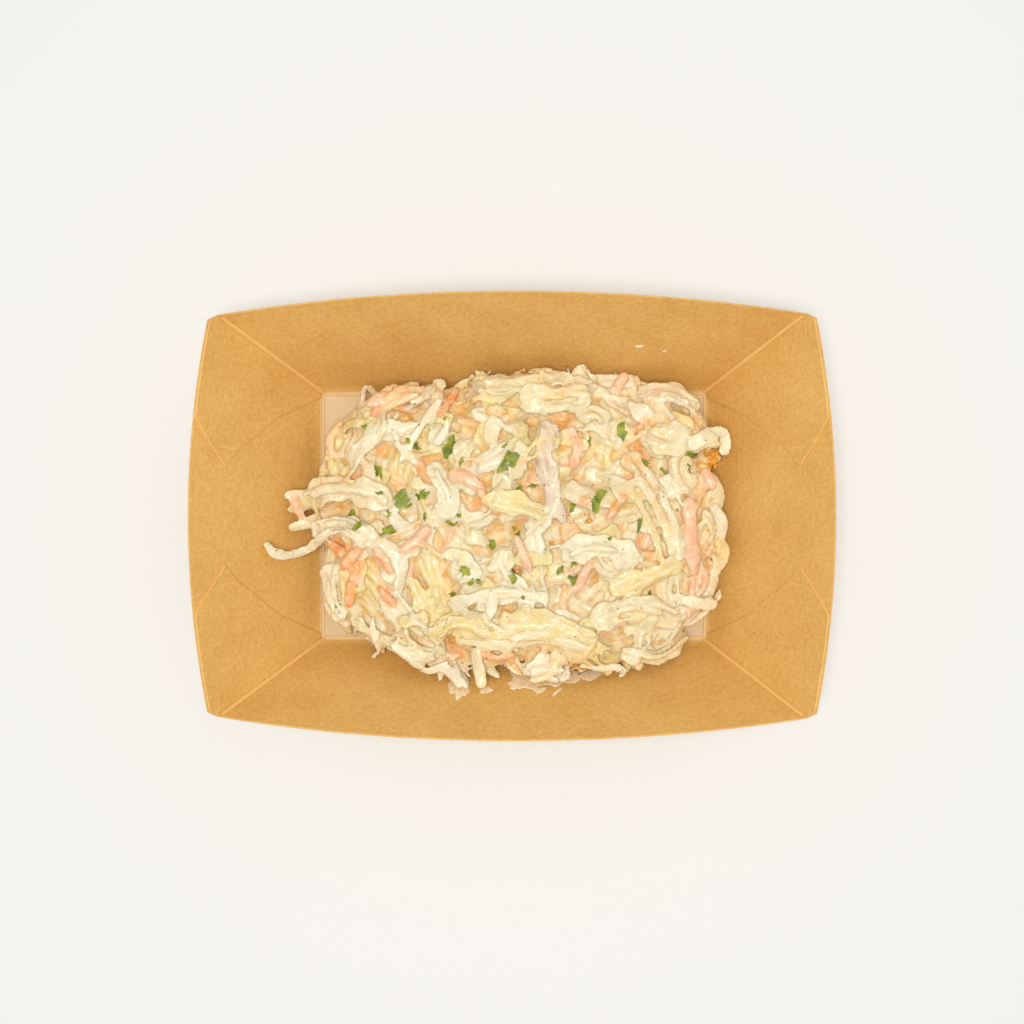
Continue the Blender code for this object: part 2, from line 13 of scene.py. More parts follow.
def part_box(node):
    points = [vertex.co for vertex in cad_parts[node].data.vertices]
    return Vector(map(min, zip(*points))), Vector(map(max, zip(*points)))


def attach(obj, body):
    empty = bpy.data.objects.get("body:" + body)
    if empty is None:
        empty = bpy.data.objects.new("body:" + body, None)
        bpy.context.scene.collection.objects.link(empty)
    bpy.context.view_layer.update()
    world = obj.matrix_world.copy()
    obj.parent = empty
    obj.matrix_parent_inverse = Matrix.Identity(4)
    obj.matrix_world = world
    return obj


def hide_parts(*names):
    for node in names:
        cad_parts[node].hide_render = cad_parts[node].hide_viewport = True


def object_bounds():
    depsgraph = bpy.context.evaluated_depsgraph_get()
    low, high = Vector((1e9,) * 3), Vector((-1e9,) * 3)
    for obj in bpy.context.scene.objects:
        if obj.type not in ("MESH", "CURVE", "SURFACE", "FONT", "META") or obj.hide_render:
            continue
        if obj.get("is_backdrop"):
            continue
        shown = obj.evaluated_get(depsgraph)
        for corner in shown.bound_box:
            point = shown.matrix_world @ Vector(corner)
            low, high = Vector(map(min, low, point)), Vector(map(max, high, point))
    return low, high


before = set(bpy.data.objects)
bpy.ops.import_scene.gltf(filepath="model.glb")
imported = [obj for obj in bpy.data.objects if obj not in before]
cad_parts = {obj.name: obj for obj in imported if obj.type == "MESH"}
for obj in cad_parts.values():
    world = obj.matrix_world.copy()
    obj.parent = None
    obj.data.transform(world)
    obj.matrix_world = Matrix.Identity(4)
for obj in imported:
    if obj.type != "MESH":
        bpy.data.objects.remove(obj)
cad_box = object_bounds()

# Floor, light and camera. The floor is a plain pale sheet under the tray, lit by one large
# soft lamp overhead and a bright even room. The camera looks almost straight down.
MM = 0.001
FLOOR_COLOUR = (0.80, 0.80, 0.79, 1.0)
CAMERA_HEIGHT = 423 * MM
CAMERA_SIDE = 7.4 * MM
AIM = (-0.42 * MM, 1.07 * MM, 0.0)
FOCAL_LENGTH = 52.7


def placed(name, data):
    """A new object in the scene."""
    obj = bpy.data.objects.new(name, data)
    bpy.context.scene.collection.objects.link(obj)
    return obj


def aim(obj, place, target):
    """Puts an object at a place and turns its -Z axis to the target, with +Y up the image."""
    backward = (Vector(place) - Vector(target)).normalized()
    right = Vector((0, 1, 0)).cross(backward).normalized()
    turned = Matrix((right, backward.cross(right), backward)).transposed().to_4x4()
    obj.matrix_world = Matrix.Translation(place) @ turned


def soft_lamp(name, place, size, power, colour):
    lamp = bpy.data.lights.new(name, "AREA")
    lamp.shape = "DISK"
    lamp.size = size
    lamp.energy = power
    lamp.color = colour
    aim(placed(name, lamp), place, (0, 0, 0))


floor_mesh = bpy.data.meshes.new("floor")
floor_mesh.from_pydata([(-3, -3, 0), (3, -3, 0), (3, 3, 0), (-3, 3, 0)], [], [(0, 1, 2, 3)])
floor = placed("floor", floor_mesh)
floor.location.z = -0.05 * MM
floor_finish = bpy.data.materials.new("pale_floor")
floor_finish.use_nodes = True
floor_shader = floor_finish.node_tree.nodes["Principled BSDF"]
floor_shader.inputs["Base Color"].default_value = FLOOR_COLOUR
floor_shader.inputs["Roughness"].default_value = 0.9
floor_mesh.materials.append(floor_finish)
floor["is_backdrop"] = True

soft_lamp("overhead_lamp", (-0.02, -0.03, 0.80), 0.26, 4.4, (1.0, 0.985, 0.95))
soft_lamp("fill_lamp", (0.35, 0.40, 0.7), 0.8, 0.5, (1.0, 0.98, 0.96))

room = bpy.data.worlds.new("room")
room.use_nodes = True
room.node_tree.nodes["Background"].inputs["Color"].default_value = (1.0, 0.985, 0.96, 1.0)
room.node_tree.nodes["Background"].inputs["Strength"].default_value = 0.48
bpy.context.scene.world = room

camera_data = bpy.data.cameras.new("camera")
camera_data.lens = FOCAL_LENGTH
camera_data.sensor_width = 36
camera_data.clip_start = 0.01
camera = placed("camera", camera_data)
aim(camera, (CAMERA_SIDE, 0.0, CAMERA_HEIGHT), AIM)
bpy.context.scene.camera = camera
bpy.context.scene.view_settings.view_transform = "Standard"

# The tray's blank: one piece of kraft board with a flat base and four leaning walls, whose
# rims are cut to shallow arches. It is folded up along score lines from a die-cut sheet.
BOARD = 0.5 * MM
BASE_LENGTH = 109.0 * MM
BASE_WIDTH = 70.0 * MM
RIM_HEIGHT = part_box("tray")[1].z
CREASE_TOP = 34.0 * MM
SHORT_WALL_LEAN = 0.653
LONG_WALL_LEAN = 0.51
WALL_BOW = 1.4 * MM
SHORT_RIM_DROP = 4.2 * MM
CHAMFER = 1.3 * MM
LONG_WALL_COLUMNS = 48
SHORT_WALL_COLUMNS = 36
WALL_ROWS = 12
SAME_PLACE = 0.01 * MM
KRAFT = (229, 177, 93)
KRAFT_DARK = (202, 148, 67)
KRAFT_PALE = (243, 200, 123)
KRAFT_WET = (204, 182, 142)
# Dark fibre specks in the board. The same colour also paints the shade line at the foot of each score
# bead.
FIBRE_SPECK_AND_SHADE = (150, 98, 44)


def linear(screen):
    """Screen values of 0 to 1 as the linear ones that a shader works with."""
    return np.where(screen <= 0.04045, screen / 12.92, ((screen + 0.055) / 1.055) ** 2.4)


def paint(colour):
    """A colour given as the 0 to 255 values of a screen, made linear for a shader."""
    return (*linear(np.array(colour) / 255), 1.0)


class Value:
    """A socket of a node tree on which Python arithmetic adds Math nodes."""

    def __init__(self, nodes, socket):
        self.nodes = nodes
        self.socket = socket

    def math(self, operation, *others, clamp=False):
        terms = dict(enumerate((self, *others)))
        return self.nodes.add("ShaderNodeMath", terms, operation=operation, use_clamp=clamp)

    def __add__(self, other):
        return self.math("ADD", other)

    __radd__ = __add__

    def __mul__(self, other):
        return self.math("MULTIPLY", other)

    def __sub__(self, other):
        return self.math("SUBTRACT", other)

    def __rsub__(self, other):
        return self * -1 + other

    def ramp(self, start, end):
        """0 below start and 1 above end, with a straight slope between them."""
        return ((self - start) * (1 / (end - start))).math("ADD", 0.0, clamp=True)


class Nodes:
    """A node tree of any kind, whose nodes all come from one method."""

    def __init__(self, tree):
        self.tree = tree

    def add(self, kind, values=None, output=0, **settings):
        made = self.tree.nodes.new(kind)
        for setting, choice in settings.items():
            setattr(made, setting, choice)
        for key, value in (values or {}).items():
            if isinstance(value, Value):
                self.tree.links.new(value.socket, made.inputs[key])
            else:
                made.inputs[key].default_value = value
        return Value(self, made.outputs[output])


class Finish(Nodes):
    """A material, made from the numbers of its surface and the nodes that vary them."""

    def __init__(self, name, **numbers):
        self.material = bpy.data.materials.new(name)
        self.material.use_nodes = True
        super().__init__(self.material.node_tree)
        self.surface = self.tree.nodes["Principled BSDF"]
        for socket, number in numbers.items():
            self.surface.inputs[socket.replace("_", " ")].default_value = number

    def place(self, stretch=(1, 1, 1)):
        """Object coordinates, in metres, squeezed along each axis by stretch."""
        here = self.add("ShaderNodeTexCoord", output="Object")
        return self.add("ShaderNodeVectorMath", {0: here, 1: stretch}, operation="MULTIPLY")

    def clouds(self, size, detail=3.0, where=None, rough=0.5):
        """Noise from 0 to 1 whose blotches are about size metres wide."""
        values = {"Vector": where or self.place(), "Scale": 1 / size}
        return self.add("ShaderNodeTexNoise", {**values, "Detail": detail, "Roughness": rough})

    def mixed(self, share, first, second):
        """The first colour with a share of the second; both are values or colours as painted."""
        colours = [c if isinstance(c, Value) else paint(c) for c in (first, second)]
        values = {0: share, 6: colours[0], 7: colours[1]}
        return self.add("ShaderNodeMix", values, output=2, data_type="RGBA")

    def attribute(self, name, output="Fac"):
        return self.add("ShaderNodeAttribute", output=output, attribute_name=name)

    def set(self, **links):
        for socket, value in links.items():
            self.tree.links.new(value.socket, self.surface.inputs[socket.replace("_", " ")])

    def relief(self, height, depth, strength):
        """Bump from a height of 0 to 1 that stands for depth metres."""
        values = {"Height": height, "Distance": depth, "Strength": strength}
        self.set(Normal=self.add("ShaderNodeBump", values, output="Normal"))


def kraft_finish():
    """Unbleached board: a mottled brown, with fibres that lie along the sheet's grain."""
    finish = Finish("kraft_board", Roughness=0.6)
    mottle = finish.clouds(1.1 * MM, detail=4.0, rough=0.65)
    patches = finish.clouds(14 * MM, detail=2.0)
    grain = finish.clouds(0.5 * MM, where=finish.place((0.5, 1.0, 1.0)))
    tone = (mottle * 0.7 + grain * 0.15 + patches * 0.3).ramp(0.34, 0.84)
    board = finish.mixed(0.2, finish.mixed(tone, KRAFT_DARK, KRAFT_PALE), KRAFT)
    specks = finish.clouds(0.8 * MM, detail=1.0, where=finish.place((0.5, 1.0, 1.3)))
    board = finish.mixed(specks.ramp(0.76, 0.8) * 0.5, board, FIBRE_SPECK_AND_SHADE)
    height = finish.add("ShaderNodeSeparateXYZ", {0: finish.place()}, output="Z")
    wet = (1 - height.ramp(0.52 * MM, 0.95 * MM)) * height.ramp(0.2 * MM, 0.4 * MM)
    board = finish.mixed(wet * 0.85, board, KRAFT_WET)
    # Painted highlight: the crest of each score bead and the narrow border of each flap are painted
    # paler, as if catching the light.
    crest = finish.attribute("crest")
    foot = crest.ramp(0.0, 0.1) * (1 - crest.ramp(0.2, 0.5))
    board = finish.mixed(crest.ramp(0.45, 0.9) * 0.5, board, KRAFT_PALE)
    # Painted shade: the foot of each bead is darkened with the speck colour, a painted shadow line
    # beside the bead.
    board = finish.mixed(foot * 0.5, board, FIBRE_SPECK_AND_SHADE)
    finish.set(Base_Color=board, Roughness=0.62 - wet * 0.14 + grain * 0.06)
    finish.relief(mottle * 0.5 + grain * 0.5, 0.05 * MM, 0.6)
    return finish.material


def long_rim(share):
    """Inner rim point of the +Y wall, with share from -1 to 1 along the wall."""
    z = RIM_HEIGHT - (RIM_HEIGHT - CREASE_TOP) * share**2
    y = BASE_WIDTH / 2 + LONG_WALL_LEAN * (z - BOARD) + WALL_BOW * (1 - share**2)
    x = (BASE_LENGTH / 2 + SHORT_WALL_LEAN * (CREASE_TOP - BOARD)) * share
    return Vector((x, y, z))


WALL_END = long_rim(1.0).y


def short_rim(y):
    """Inner rim point of the +X wall at a distance y from the wall's middle line."""
    straight = WALL_END - CHAMFER
    z = RIM_HEIGHT - SHORT_RIM_DROP * min(1.0, abs(y) / straight) ** 2
    if abs(y) > straight:
        z += (CREASE_TOP - z) * (abs(y) - straight) / CHAMFER
    lean = SHORT_WALL_LEAN * (z - BOARD)
    return Vector((BASE_LENGTH / 2 + lean + WALL_BOW * (1 - (y / WALL_END) ** 2), y, z))


def short_wall_point(y, rise):
    """Point of the +X wall's inner face: y is read at the rim, rise goes from 0 to 1."""
    foot = Vector((BASE_LENGTH / 2, BASE_WIDTH / 2 * y / WALL_END, BOARD))
    return foot.lerp(short_rim(y), rise)


def sheet_rows(bm, feet, rims, rows):
    """A sheet as rows of faces between the points of its lower and its upper edge."""
    previous = [bm.verts.new(point) for point in feet]
    for row in range(1, rows + 1):
        current = [bm.verts.new(foot.lerp(rim, row / rows)) for foot, rim in zip(feet, rims)]
        for i in range(len(feet) - 1):
            bm.faces.new((previous[i], previous[i + 1], current[i + 1], current[i]))
        previous = current


def new_piece(name, bm, *materials):
    mesh = bpy.data.meshes.new(name)
    bm.to_mesh(mesh)
    bm.free()
    for material in materials:
        mesh.materials.append(material)
    return placed(name, mesh)


def settled(piece, sharp_angle=None):
    """The piece with its modifiers turned into plain mesh, smooth but for its sharp edges."""
    bpy.context.view_layer.update()
    evaluated = piece.evaluated_get(bpy.context.evaluated_depsgraph_get())
    mesh = bpy.data.meshes.new_from_object(evaluated)
    piece.modifiers.clear()
    piece.data = mesh
    mesh.shade_smooth()
    if sharp_angle is not None:
        mesh.set_sharp_from_angle(angle=math.radians(sharp_angle))
    return piece


def thicken(piece, thickness, offset, edge=0.08 * MM):
    """Gives a sheet its board thickness, with the cut edges just broken."""
    solidify = piece.modifiers.new("thickness", "SOLIDIFY")
    solidify.solidify_mode = "NON_MANIFOLD"
    solidify.nonmanifold_thickness_mode = "CONSTRAINTS"
    solidify.nonmanifold_merge_threshold = 0.00001
    solidify.thickness = thickness
    solidify.offset = offset
    bevel = piece.modifiers.new("cut_edges", "BEVEL")
    bevel.width = edge
    bevel.segments = 1
    bevel.limit_method = "ANGLE"
    bevel.angle_limit = math.radians(50)


kraft = kraft_finish()
blank = bmesh.new()
long_shares = [2 * i / LONG_WALL_COLUMNS - 1 for i in range(LONG_WALL_COLUMNS + 1)]
short_shares = [2 * i / SHORT_WALL_COLUMNS - 1 for i in range(SHORT_WALL_COLUMNS + 1)]
short_places = [-WALL_END, *(s * (WALL_END - CHAMFER) for s in short_shares), WALL_END]
for turn in (1, -1):
    flip = Vector((turn, turn, 1))
    feet = [Vector((BASE_LENGTH / 2 * s, BASE_WIDTH / 2, BOARD)) * flip for s in long_shares]
    sheet_rows(blank, feet, [long_rim(s) * flip for s in long_shares], WALL_ROWS)
    feet = [short_wall_point(y, 0.0) * flip for y in short_places]
    sheet_rows(blank, feet, [short_rim(y) * flip for y in short_places], WALL_ROWS)
bmesh.ops.remove_doubles(blank, verts=blank.verts, dist=SAME_PLACE)
foot_edges = [e for e in blank.edges if all(v.co.z < BOARD + SAME_PLACE for v in e.verts)]
bmesh.ops.contextual_create(blank, geom=foot_edges)
bmesh.ops.recalc_face_normals(blank, faces=blank.faces)
if min(blank.faces, key=lambda face: face.calc_center_median().z).normal.z < 0:
    bmesh.ops.reverse_faces(blank, faces=blank.faces)
tray = new_piece("kraft_tray", blank, kraft)
thicken(tray, BOARD, -1.0)
settled(tray, sharp_angle=35)
for vertex in tray.data.vertices:
    vertex.co.z = max(vertex.co.z, 0.0)
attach(tray, "root")
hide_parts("tray")

# Score lines: the folds round the base and up the corners. The die presses the board in
# from outside before it is folded, which raises a narrow rounded bead on the inside.
BEAD_RADIUS = 0.68 * MM
BEAD_OFFSET = 0.28 * MM
BEAD_END = 0.5 * MM
BEAD_FLOOR = 0.1 * MM
BASE_BEAD_RISE = 0.25 * MM
BASE_BEAD_TOP = 1.2 * MM
FLAP_RELIEF = 0.6 * MM
FIELDS = {"FLOAT": "value", "FLOAT_VECTOR": "vector", "FLOAT_COLOR": "color"}
CORNERS = [Vector((x, y, 1)) for x in (1, -1) for y in (1, -1)]


def note(mesh, name, numbers, kind="FLOAT", domain="POINT"):
    """Keeps numbers on a mesh, under a name that finishes and recipes can read."""
    mesh.attributes.new(name, kind, domain).data.foreach_set(FIELDS[kind], np.ravel(numbers))


class Recipe(Nodes):
    """A node tree that makes a new mesh from a piece's own and from named numbers."""

    def __init__(self, name, **numbers):
        super().__init__(bpy.data.node_groups.new(name, "GeometryNodeTree"))
        socket = self.tree.interface.new_socket
        inputs = {"Start": "Geometry", **numbers}
        self.keys = {
            label: socket(label, in_out="INPUT", socket_type="NodeSocket" + kind).identifier
            for label, kind in inputs.items()
        }
        socket("Result", in_out="OUTPUT", socket_type="NodeSocketGeometry")
        entry = self.tree.nodes.new("NodeGroupInput")
        self.given = {label: Value(self, entry.outputs[label]) for label in inputs}

    def yields(self, shapes, material=None):
        """Ends the tree with these shapes, all of one material."""
        shapes = self.add("GeometryNodeRealizeInstances", {0: shapes})
        if material:
            shapes = self.add("GeometryNodeSetMaterial", {0: shapes, "Material": material})
        leave = self.tree.nodes.new("NodeGroupOutput")
        self.tree.links.new(shapes.socket, leave.inputs[0])

    def on(self, piece, sharp_angle=None, **numbers):
        """The piece as the recipe makes it from these numbers."""
        modifier = piece.modifiers.new("recipe", "NODES")
        for label, number in numbers.items():
            modifier[self.keys[label]] = number
        modifier.node_group = self.tree
        return settled(piece, sharp_angle)


beads = bmesh.new()
bisector = (-1 / math.hypot(1, SHORT_WALL_LEAN), -1 / math.hypot(1, LONG_WALL_LEAN), 1.0)
aside = Vector(bisector).normalized() * BEAD_OFFSET - Vector((FLAP_RELIEF, 0, 0))
foot = Vector((BASE_LENGTH / 2, BASE_WIDTH / 2, BOARD)) + aside
top = long_rim(1.0) + aside - Vector((0, 0, BEAD_END))
lines = [(foot * flip, top * flip) for flip in CORNERS]
long_side, short_side = BASE_LENGTH / 2 - BEAD_RADIUS, BASE_WIDTH / 2 - BEAD_RADIUS
level = BOARD + BASE_BEAD_RISE - BEAD_RADIUS
for turn in (1, -1):
    lines.append([(s * BASE_LENGTH / 2, turn * short_side, level) for s in (-1, 1)])
    lines.append([(turn * long_side, s * BASE_WIDTH / 2, level) for s in (-1, 1)])
for line in lines:
    beads.edges.new([beads.verts.new(point) for point in line])
score_lines = new_piece("score_lines", beads)
sweep = Recipe("score_beads", Radius="Float")
route = sweep.add("GeometryNodeMeshToCurve", {0: sweep.given["Start"]})
circle = {"Resolution": 24, "Radius": sweep.given["Radius"]}
section = sweep.add("GeometryNodeCurvePrimitiveCircle", circle)
tube = {"Curve": route, "Profile Curve": section, "Fill Caps": True}
sweep.yields(sweep.add("GeometryNodeCurveToMesh", tube), kraft)
sweep.on(score_lines, sharp_angle=50, Radius=BEAD_RADIUS)
# The crest numbers say how far each bead point stands above the wall. The kraft finish paints the top
# of the bead paler as a painted highlight, and its foot darker as a painted shade line.
crests = []
for vertex in score_lines.data.vertices:
    vertex.co.z = max(vertex.co.z, BEAD_FLOOR)
    x, y, z = vertex.co
    short = (abs(x) + FLAP_RELIEF - BASE_LENGTH / 2) / SHORT_WALL_LEAN
    long = (abs(y) - BASE_WIDTH / 2) / LONG_WALL_LEAN
    full_rise = 0.45 * MM if z > BASE_BEAD_TOP else 0.3 * MM
    crests.append(0.1 + (z - BOARD - max(0.0, short, long)) / full_rise)
note(score_lines.data, "crest", np.clip(crests, 0, 1))
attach(score_lines, "root")

# Glue flaps: the tongues at the ends of the long walls, folded round the corners and glued
# flat to the inside of the short walls. Each runs to a point, with an arched lower edge.
FLAP_TIP = 14.1 * MM
FLAP_THICKNESS = 0.5 * MM
FLAP_BORDER = 0.26 * MM
FLAP_COLUMN = 1.3 * MM
FLAP_ROWS = 6
FLAP_EDGE = (
    (FLAP_TIP, 0.760, 0.760),
    (19.7 * MM, 0.665, 0.878),
    (25.3 * MM, 0.535, 0.996),
    (34.5 * MM, 0.358, 0.996),
    (37.0 * MM, 0.290, 0.996),
    (42.6 * MM, 0.155, 0.996),
    (49.0 * MM, 0.010, 0.996),
)

flaps = bmesh.new()
places, lows, highs = zip(*FLAP_EDGE)
middles = [FLAP_TIP + FLAP_COLUMN * i for i in range(1, 27)]
columns = sorted({*places, *middles, WALL_END - CHAMFER, WALL_END})
for flip in CORNERS:
    lower = [short_wall_point(y, np.interp(y, places, lows)) * flip for y in columns]
    upper = [short_wall_point(y, np.interp(y, places, highs)) * flip for y in columns]
    flap = bmesh.new()
    sheet_rows(flap, lower, upper, FLAP_ROWS)
    bmesh.ops.remove_doubles(flap, verts=flap.verts, dist=SAME_PLACE)
    bmesh.ops.recalc_face_normals(flap, faces=flap.faces)
    if sum(face.normal.x * face.calc_area() for face in flap.faces) * flip.x > 0:
        bmesh.ops.reverse_faces(flap, faces=flap.faces)
    whole = flap.faces[:]
    bmesh.ops.inset_region(flap, faces=whole, thickness=FLAP_BORDER, use_even_offset=True)
    loose = bpy.data.meshes.new("flap")
    flap.to_mesh(loose)
    flaps.from_mesh(loose)
    flap.free()
glue_flaps = new_piece("glue_flaps", flaps, kraft)
thicken(glue_flaps, FLAP_THICKNESS, 1.0, edge=0.1 * MM)
settled(glue_flaps, sharp_angle=35)
mesh = glue_flaps.data
lengths = [math.dist(*(mesh.vertices[v].co for v in edge.vertices)) for edge in mesh.edges]
# The narrow border ring along each flap's edge is marked as crest, which the kraft finish paints
# paler: a painted highlight on the cut edge.
narrow = [
    min(lengths[mesh.loops[loop].edge_index] for loop in face.loop_indices) < 1.5 * FLAP_BORDER
    for face in mesh.polygons
]
note(mesh, "crest", np.array(narrow, float), domain="FACE")
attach(glue_flaps, "root")

# The slaw: finely cut cabbage with some carrot and leaf, heaped wet and held together by
# creamy dressing. Every shred is laid on those below it, then the dressing joins them all.
HEAP_CENTRE = np.array((2.5, -1.5)) * MM
HEAP_HALF_LENGTH = 56.0 * MM
HEAP_HALF_WIDTH = 41.0 * MM
HEAP_SQUARENESS = 3.5
HEAP_LOBES = (
    (178, 5.5, 8),
    (252, 3.5, 12),
    (278, 2.5, 10),
    (300, 1.5, 8),
    (24, 1.5, 8),
    (40, 3.5, 6),
    (70, 1.5, 12),
    (128, -2.0, 8),
    (228, -2.0, 8),
)
BED_TOP = 20.5 * MM
BED_INSET = 4.0 * MM
WIDEST_LEVEL = 7.0 * MM
CLEARANCE = 0.3 * MM
DECK_CELL = 0.5 * MM
DECK_HALF = (78 * MM, 58 * MM)
ROUTE_STEP = 0.9 * MM
SHORT_WAVE = 0.9 * MM
LONG_WAVE = 2.1 * MM
STEEPEST_ROLL = 0.9
DRESSING_GRAIN = 0.42 * MM
DRESSING_DEPTH = 0.45 * MM
SLAW_FACES = 196_000
SEED = 23

CREAM = (233, 217, 174)
IVORY = (237, 227, 197)
BUTTER = (234, 212, 148)
LIME = (226, 213, 152)
PEACH = (240, 200, 146)
CARROT = (240, 162, 98)
PINK = (241, 186, 150)
MAUVE = (219, 195, 172)
# Painted shade: the tan that crevices between the shreds are darkened to, and the brown of the
# deepest holes.
GAP_SHADE = (232, 170, 72)
DEEP_GAP_SHADE = (176, 108, 40)


def tray_inside(x, y):
    """Height of the tray's inner face over the plan, with the flaps and the clearance."""
    short = (np.abs(x) + FLAP_RELIEF - BASE_LENGTH / 2) / SHORT_WALL_LEAN
    long = (np.abs(y) - BASE_WIDTH / 2) / LONG_WALL_LEAN
    return BOARD + CLEARANCE + np.maximum(0.0, np.maximum(short, long))


def outline_reach(azimuth):
    """Distance from the heap's centre to its widest line."""
    along = np.abs(np.cos(azimuth) / HEAP_HALF_LENGTH) ** HEAP_SQUARENESS
    across = np.abs(np.sin(azimuth) / HEAP_HALF_WIDTH) ** HEAP_SQUARENESS
    reach = (along + across) ** (-1 / HEAP_SQUARENESS)
    for direction, amount, spread in HEAP_LOBES:
        gap = (azimuth - math.radians(direction) + math.pi) % math.tau - math.pi
        reach = reach + amount * MM * np.exp(-((gap / math.radians(spread)) ** 2))
    return reach


def heap_plan(azimuth, reach):
    return HEAP_CENTRE + reach * np.array((math.cos(azimuth), math.sin(azimuth)))


def bed_point(azimuth, latitude):
    """Where a point of a unit sphere goes on the bed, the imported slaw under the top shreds."""
    reach = outline_reach(azimuth) - BED_INSET
    level = max(WIDEST_LEVEL, tray_inside(*heap_plan(azimuth, reach)) + 0.5 * MM)
    if latitude >= 0:
        share = math.cos(latitude)
        swell = (1 - min(1.0, share) ** 2.6) ** 0.58
        x, y = heap_plan(azimuth, reach * share)
        lumps = noise.noise(Vector((x, y, 0.0)) / (12 * MM)) * 2.2 * MM * swell
        return Vector((x, y, level + (BED_TOP - level) * swell + lumps))
    share = 1 + latitude / (math.pi / 2)
    x, y = heap_plan(azimuth, reach * min(1.0, share * 1.1))
    return Vector((x, y, max(tray_inside(x, y), level * max(0.0, 1 + latitude * 2))))


def seen_from_above(tree, x, y, otherwise=0.0):
    """Height at which a surface is met from above at a place of the plan."""
    hit = tree.ray_cast(Vector((x, y, 1.0)), Vector((0, 0, -1)))[0]
    return hit.z if hit else otherwise


class Deck:
    """The height of what lies uppermost in the tray, on square cells of the plan."""

    def __init__(self, bed):
        self.shape = tuple(round(2 * half / DECK_CELL) for half in DECK_HALF)
        tree = BVHTree.FromBMesh(bed)
        self.heights = np.zeros(self.shape)
        for i, j in np.ndindex(self.shape):
            x = (i + 0.5) * DECK_CELL - DECK_HALF[0]
            y = (j + 0.5) * DECK_CELL - DECK_HALF[1]
            self.heights[i, j] = max(seen_from_above(tree, x, y), tray_inside(x, y))

    def cells(self, places):
        cells = ((places[..., :2] + DECK_HALF) / DECK_CELL).astype(int)
        return tuple(np.clip(cells[..., k], 0, self.shape[k] - 1) for k in (0, 1))

    def read(self, places):
        return self.heights[self.cells(places)]

    def bury(self, places, tops):
        np.maximum.at(self.heights, self.cells(places), tops)


def rolling(values, reach, how):
    """Each value's highest or mean neighbour within reach places of it."""
    padded = np.pad(values, reach, mode="edge")
    windows = np.lib.stride_tricks.sliding_window_view(padded, 2 * reach + 1)
    return how(windows, axis=-1)


def drift(start, heading, length, curl, waver):
    """A route over the plan that bends by curl in all and wavers from side to side."""
    count = max(6, round(length / ROUTE_STEP))
    share = np.linspace(0, 1, count)
    swing = share * math.tau * length / (16 * MM) + rng.uniform(0, math.tau)
    turn = heading + curl * (share - 0.5) + waver * np.sin(swing)
    steps = np.stack((np.cos(turn), np.sin(turn)), axis=1) * length / count
    route = np.cumsum(steps, axis=0)
    return route - route[count // 2] + start


def through(points):
    """A smooth route through given points, x and y by turns in mm (Catmull-Rom)."""
    points = np.reshape(points, (-1, 2)) * MM
    ends = np.vstack((2 * points[0] - points[1], points, 2 * points[-1] - points[-2]))
    share = np.linspace(0, 1, 12, endpoint=False)[:, None]
    spans = [
        0.5 * (2 * b + (c - a) * share + (2 * a - 5 * b + 4 * c - d) * share**2
               + (3 * b - a - 3 * c + d) * share**3)
        for a, b, c, d in zip(ends, ends[1:], ends[2:], ends[3:])
    ]
    dense = np.vstack((*spans, points[-1:]))
    reach = np.cumsum(np.linalg.norm(np.diff(dense, axis=0), axis=1))
    reach = np.concatenate(([0.0], reach))
    at = np.linspace(0, reach[-1], max(6, round(reach[-1] / ROUTE_STEP)))
    return np.stack([np.interp(at, reach, dense[:, k]) for k in (0, 1)], axis=1)


def held_in(route, overhang):
    """Moves a route towards the heap's middle until it keeps within the outline."""
    for _ in range(2):
        offset = route - HEAP_CENTRE
        far = np.linalg.norm(offset, axis=1)
        stray = far - outline_reach(np.arctan2(offset[:, 1], offset[:, 0])) - overhang
        worst = np.argmax(stray)
        if stray[worst] > 0:
            route = route - offset[worst] / far[worst] * stray[worst]
    return route


def beside(route, slack=0.0):
    """Unit steps across a route of the plan, towards its right.

    A little slack keeps a step of no length from dividing by zero.
    """
    along = np.gradient(route, axis=0)
    along /= np.linalg.norm(along, axis=1)[:, None] + slack
    return np.stack((along[:, 1], -along[:, 0]), axis=1)


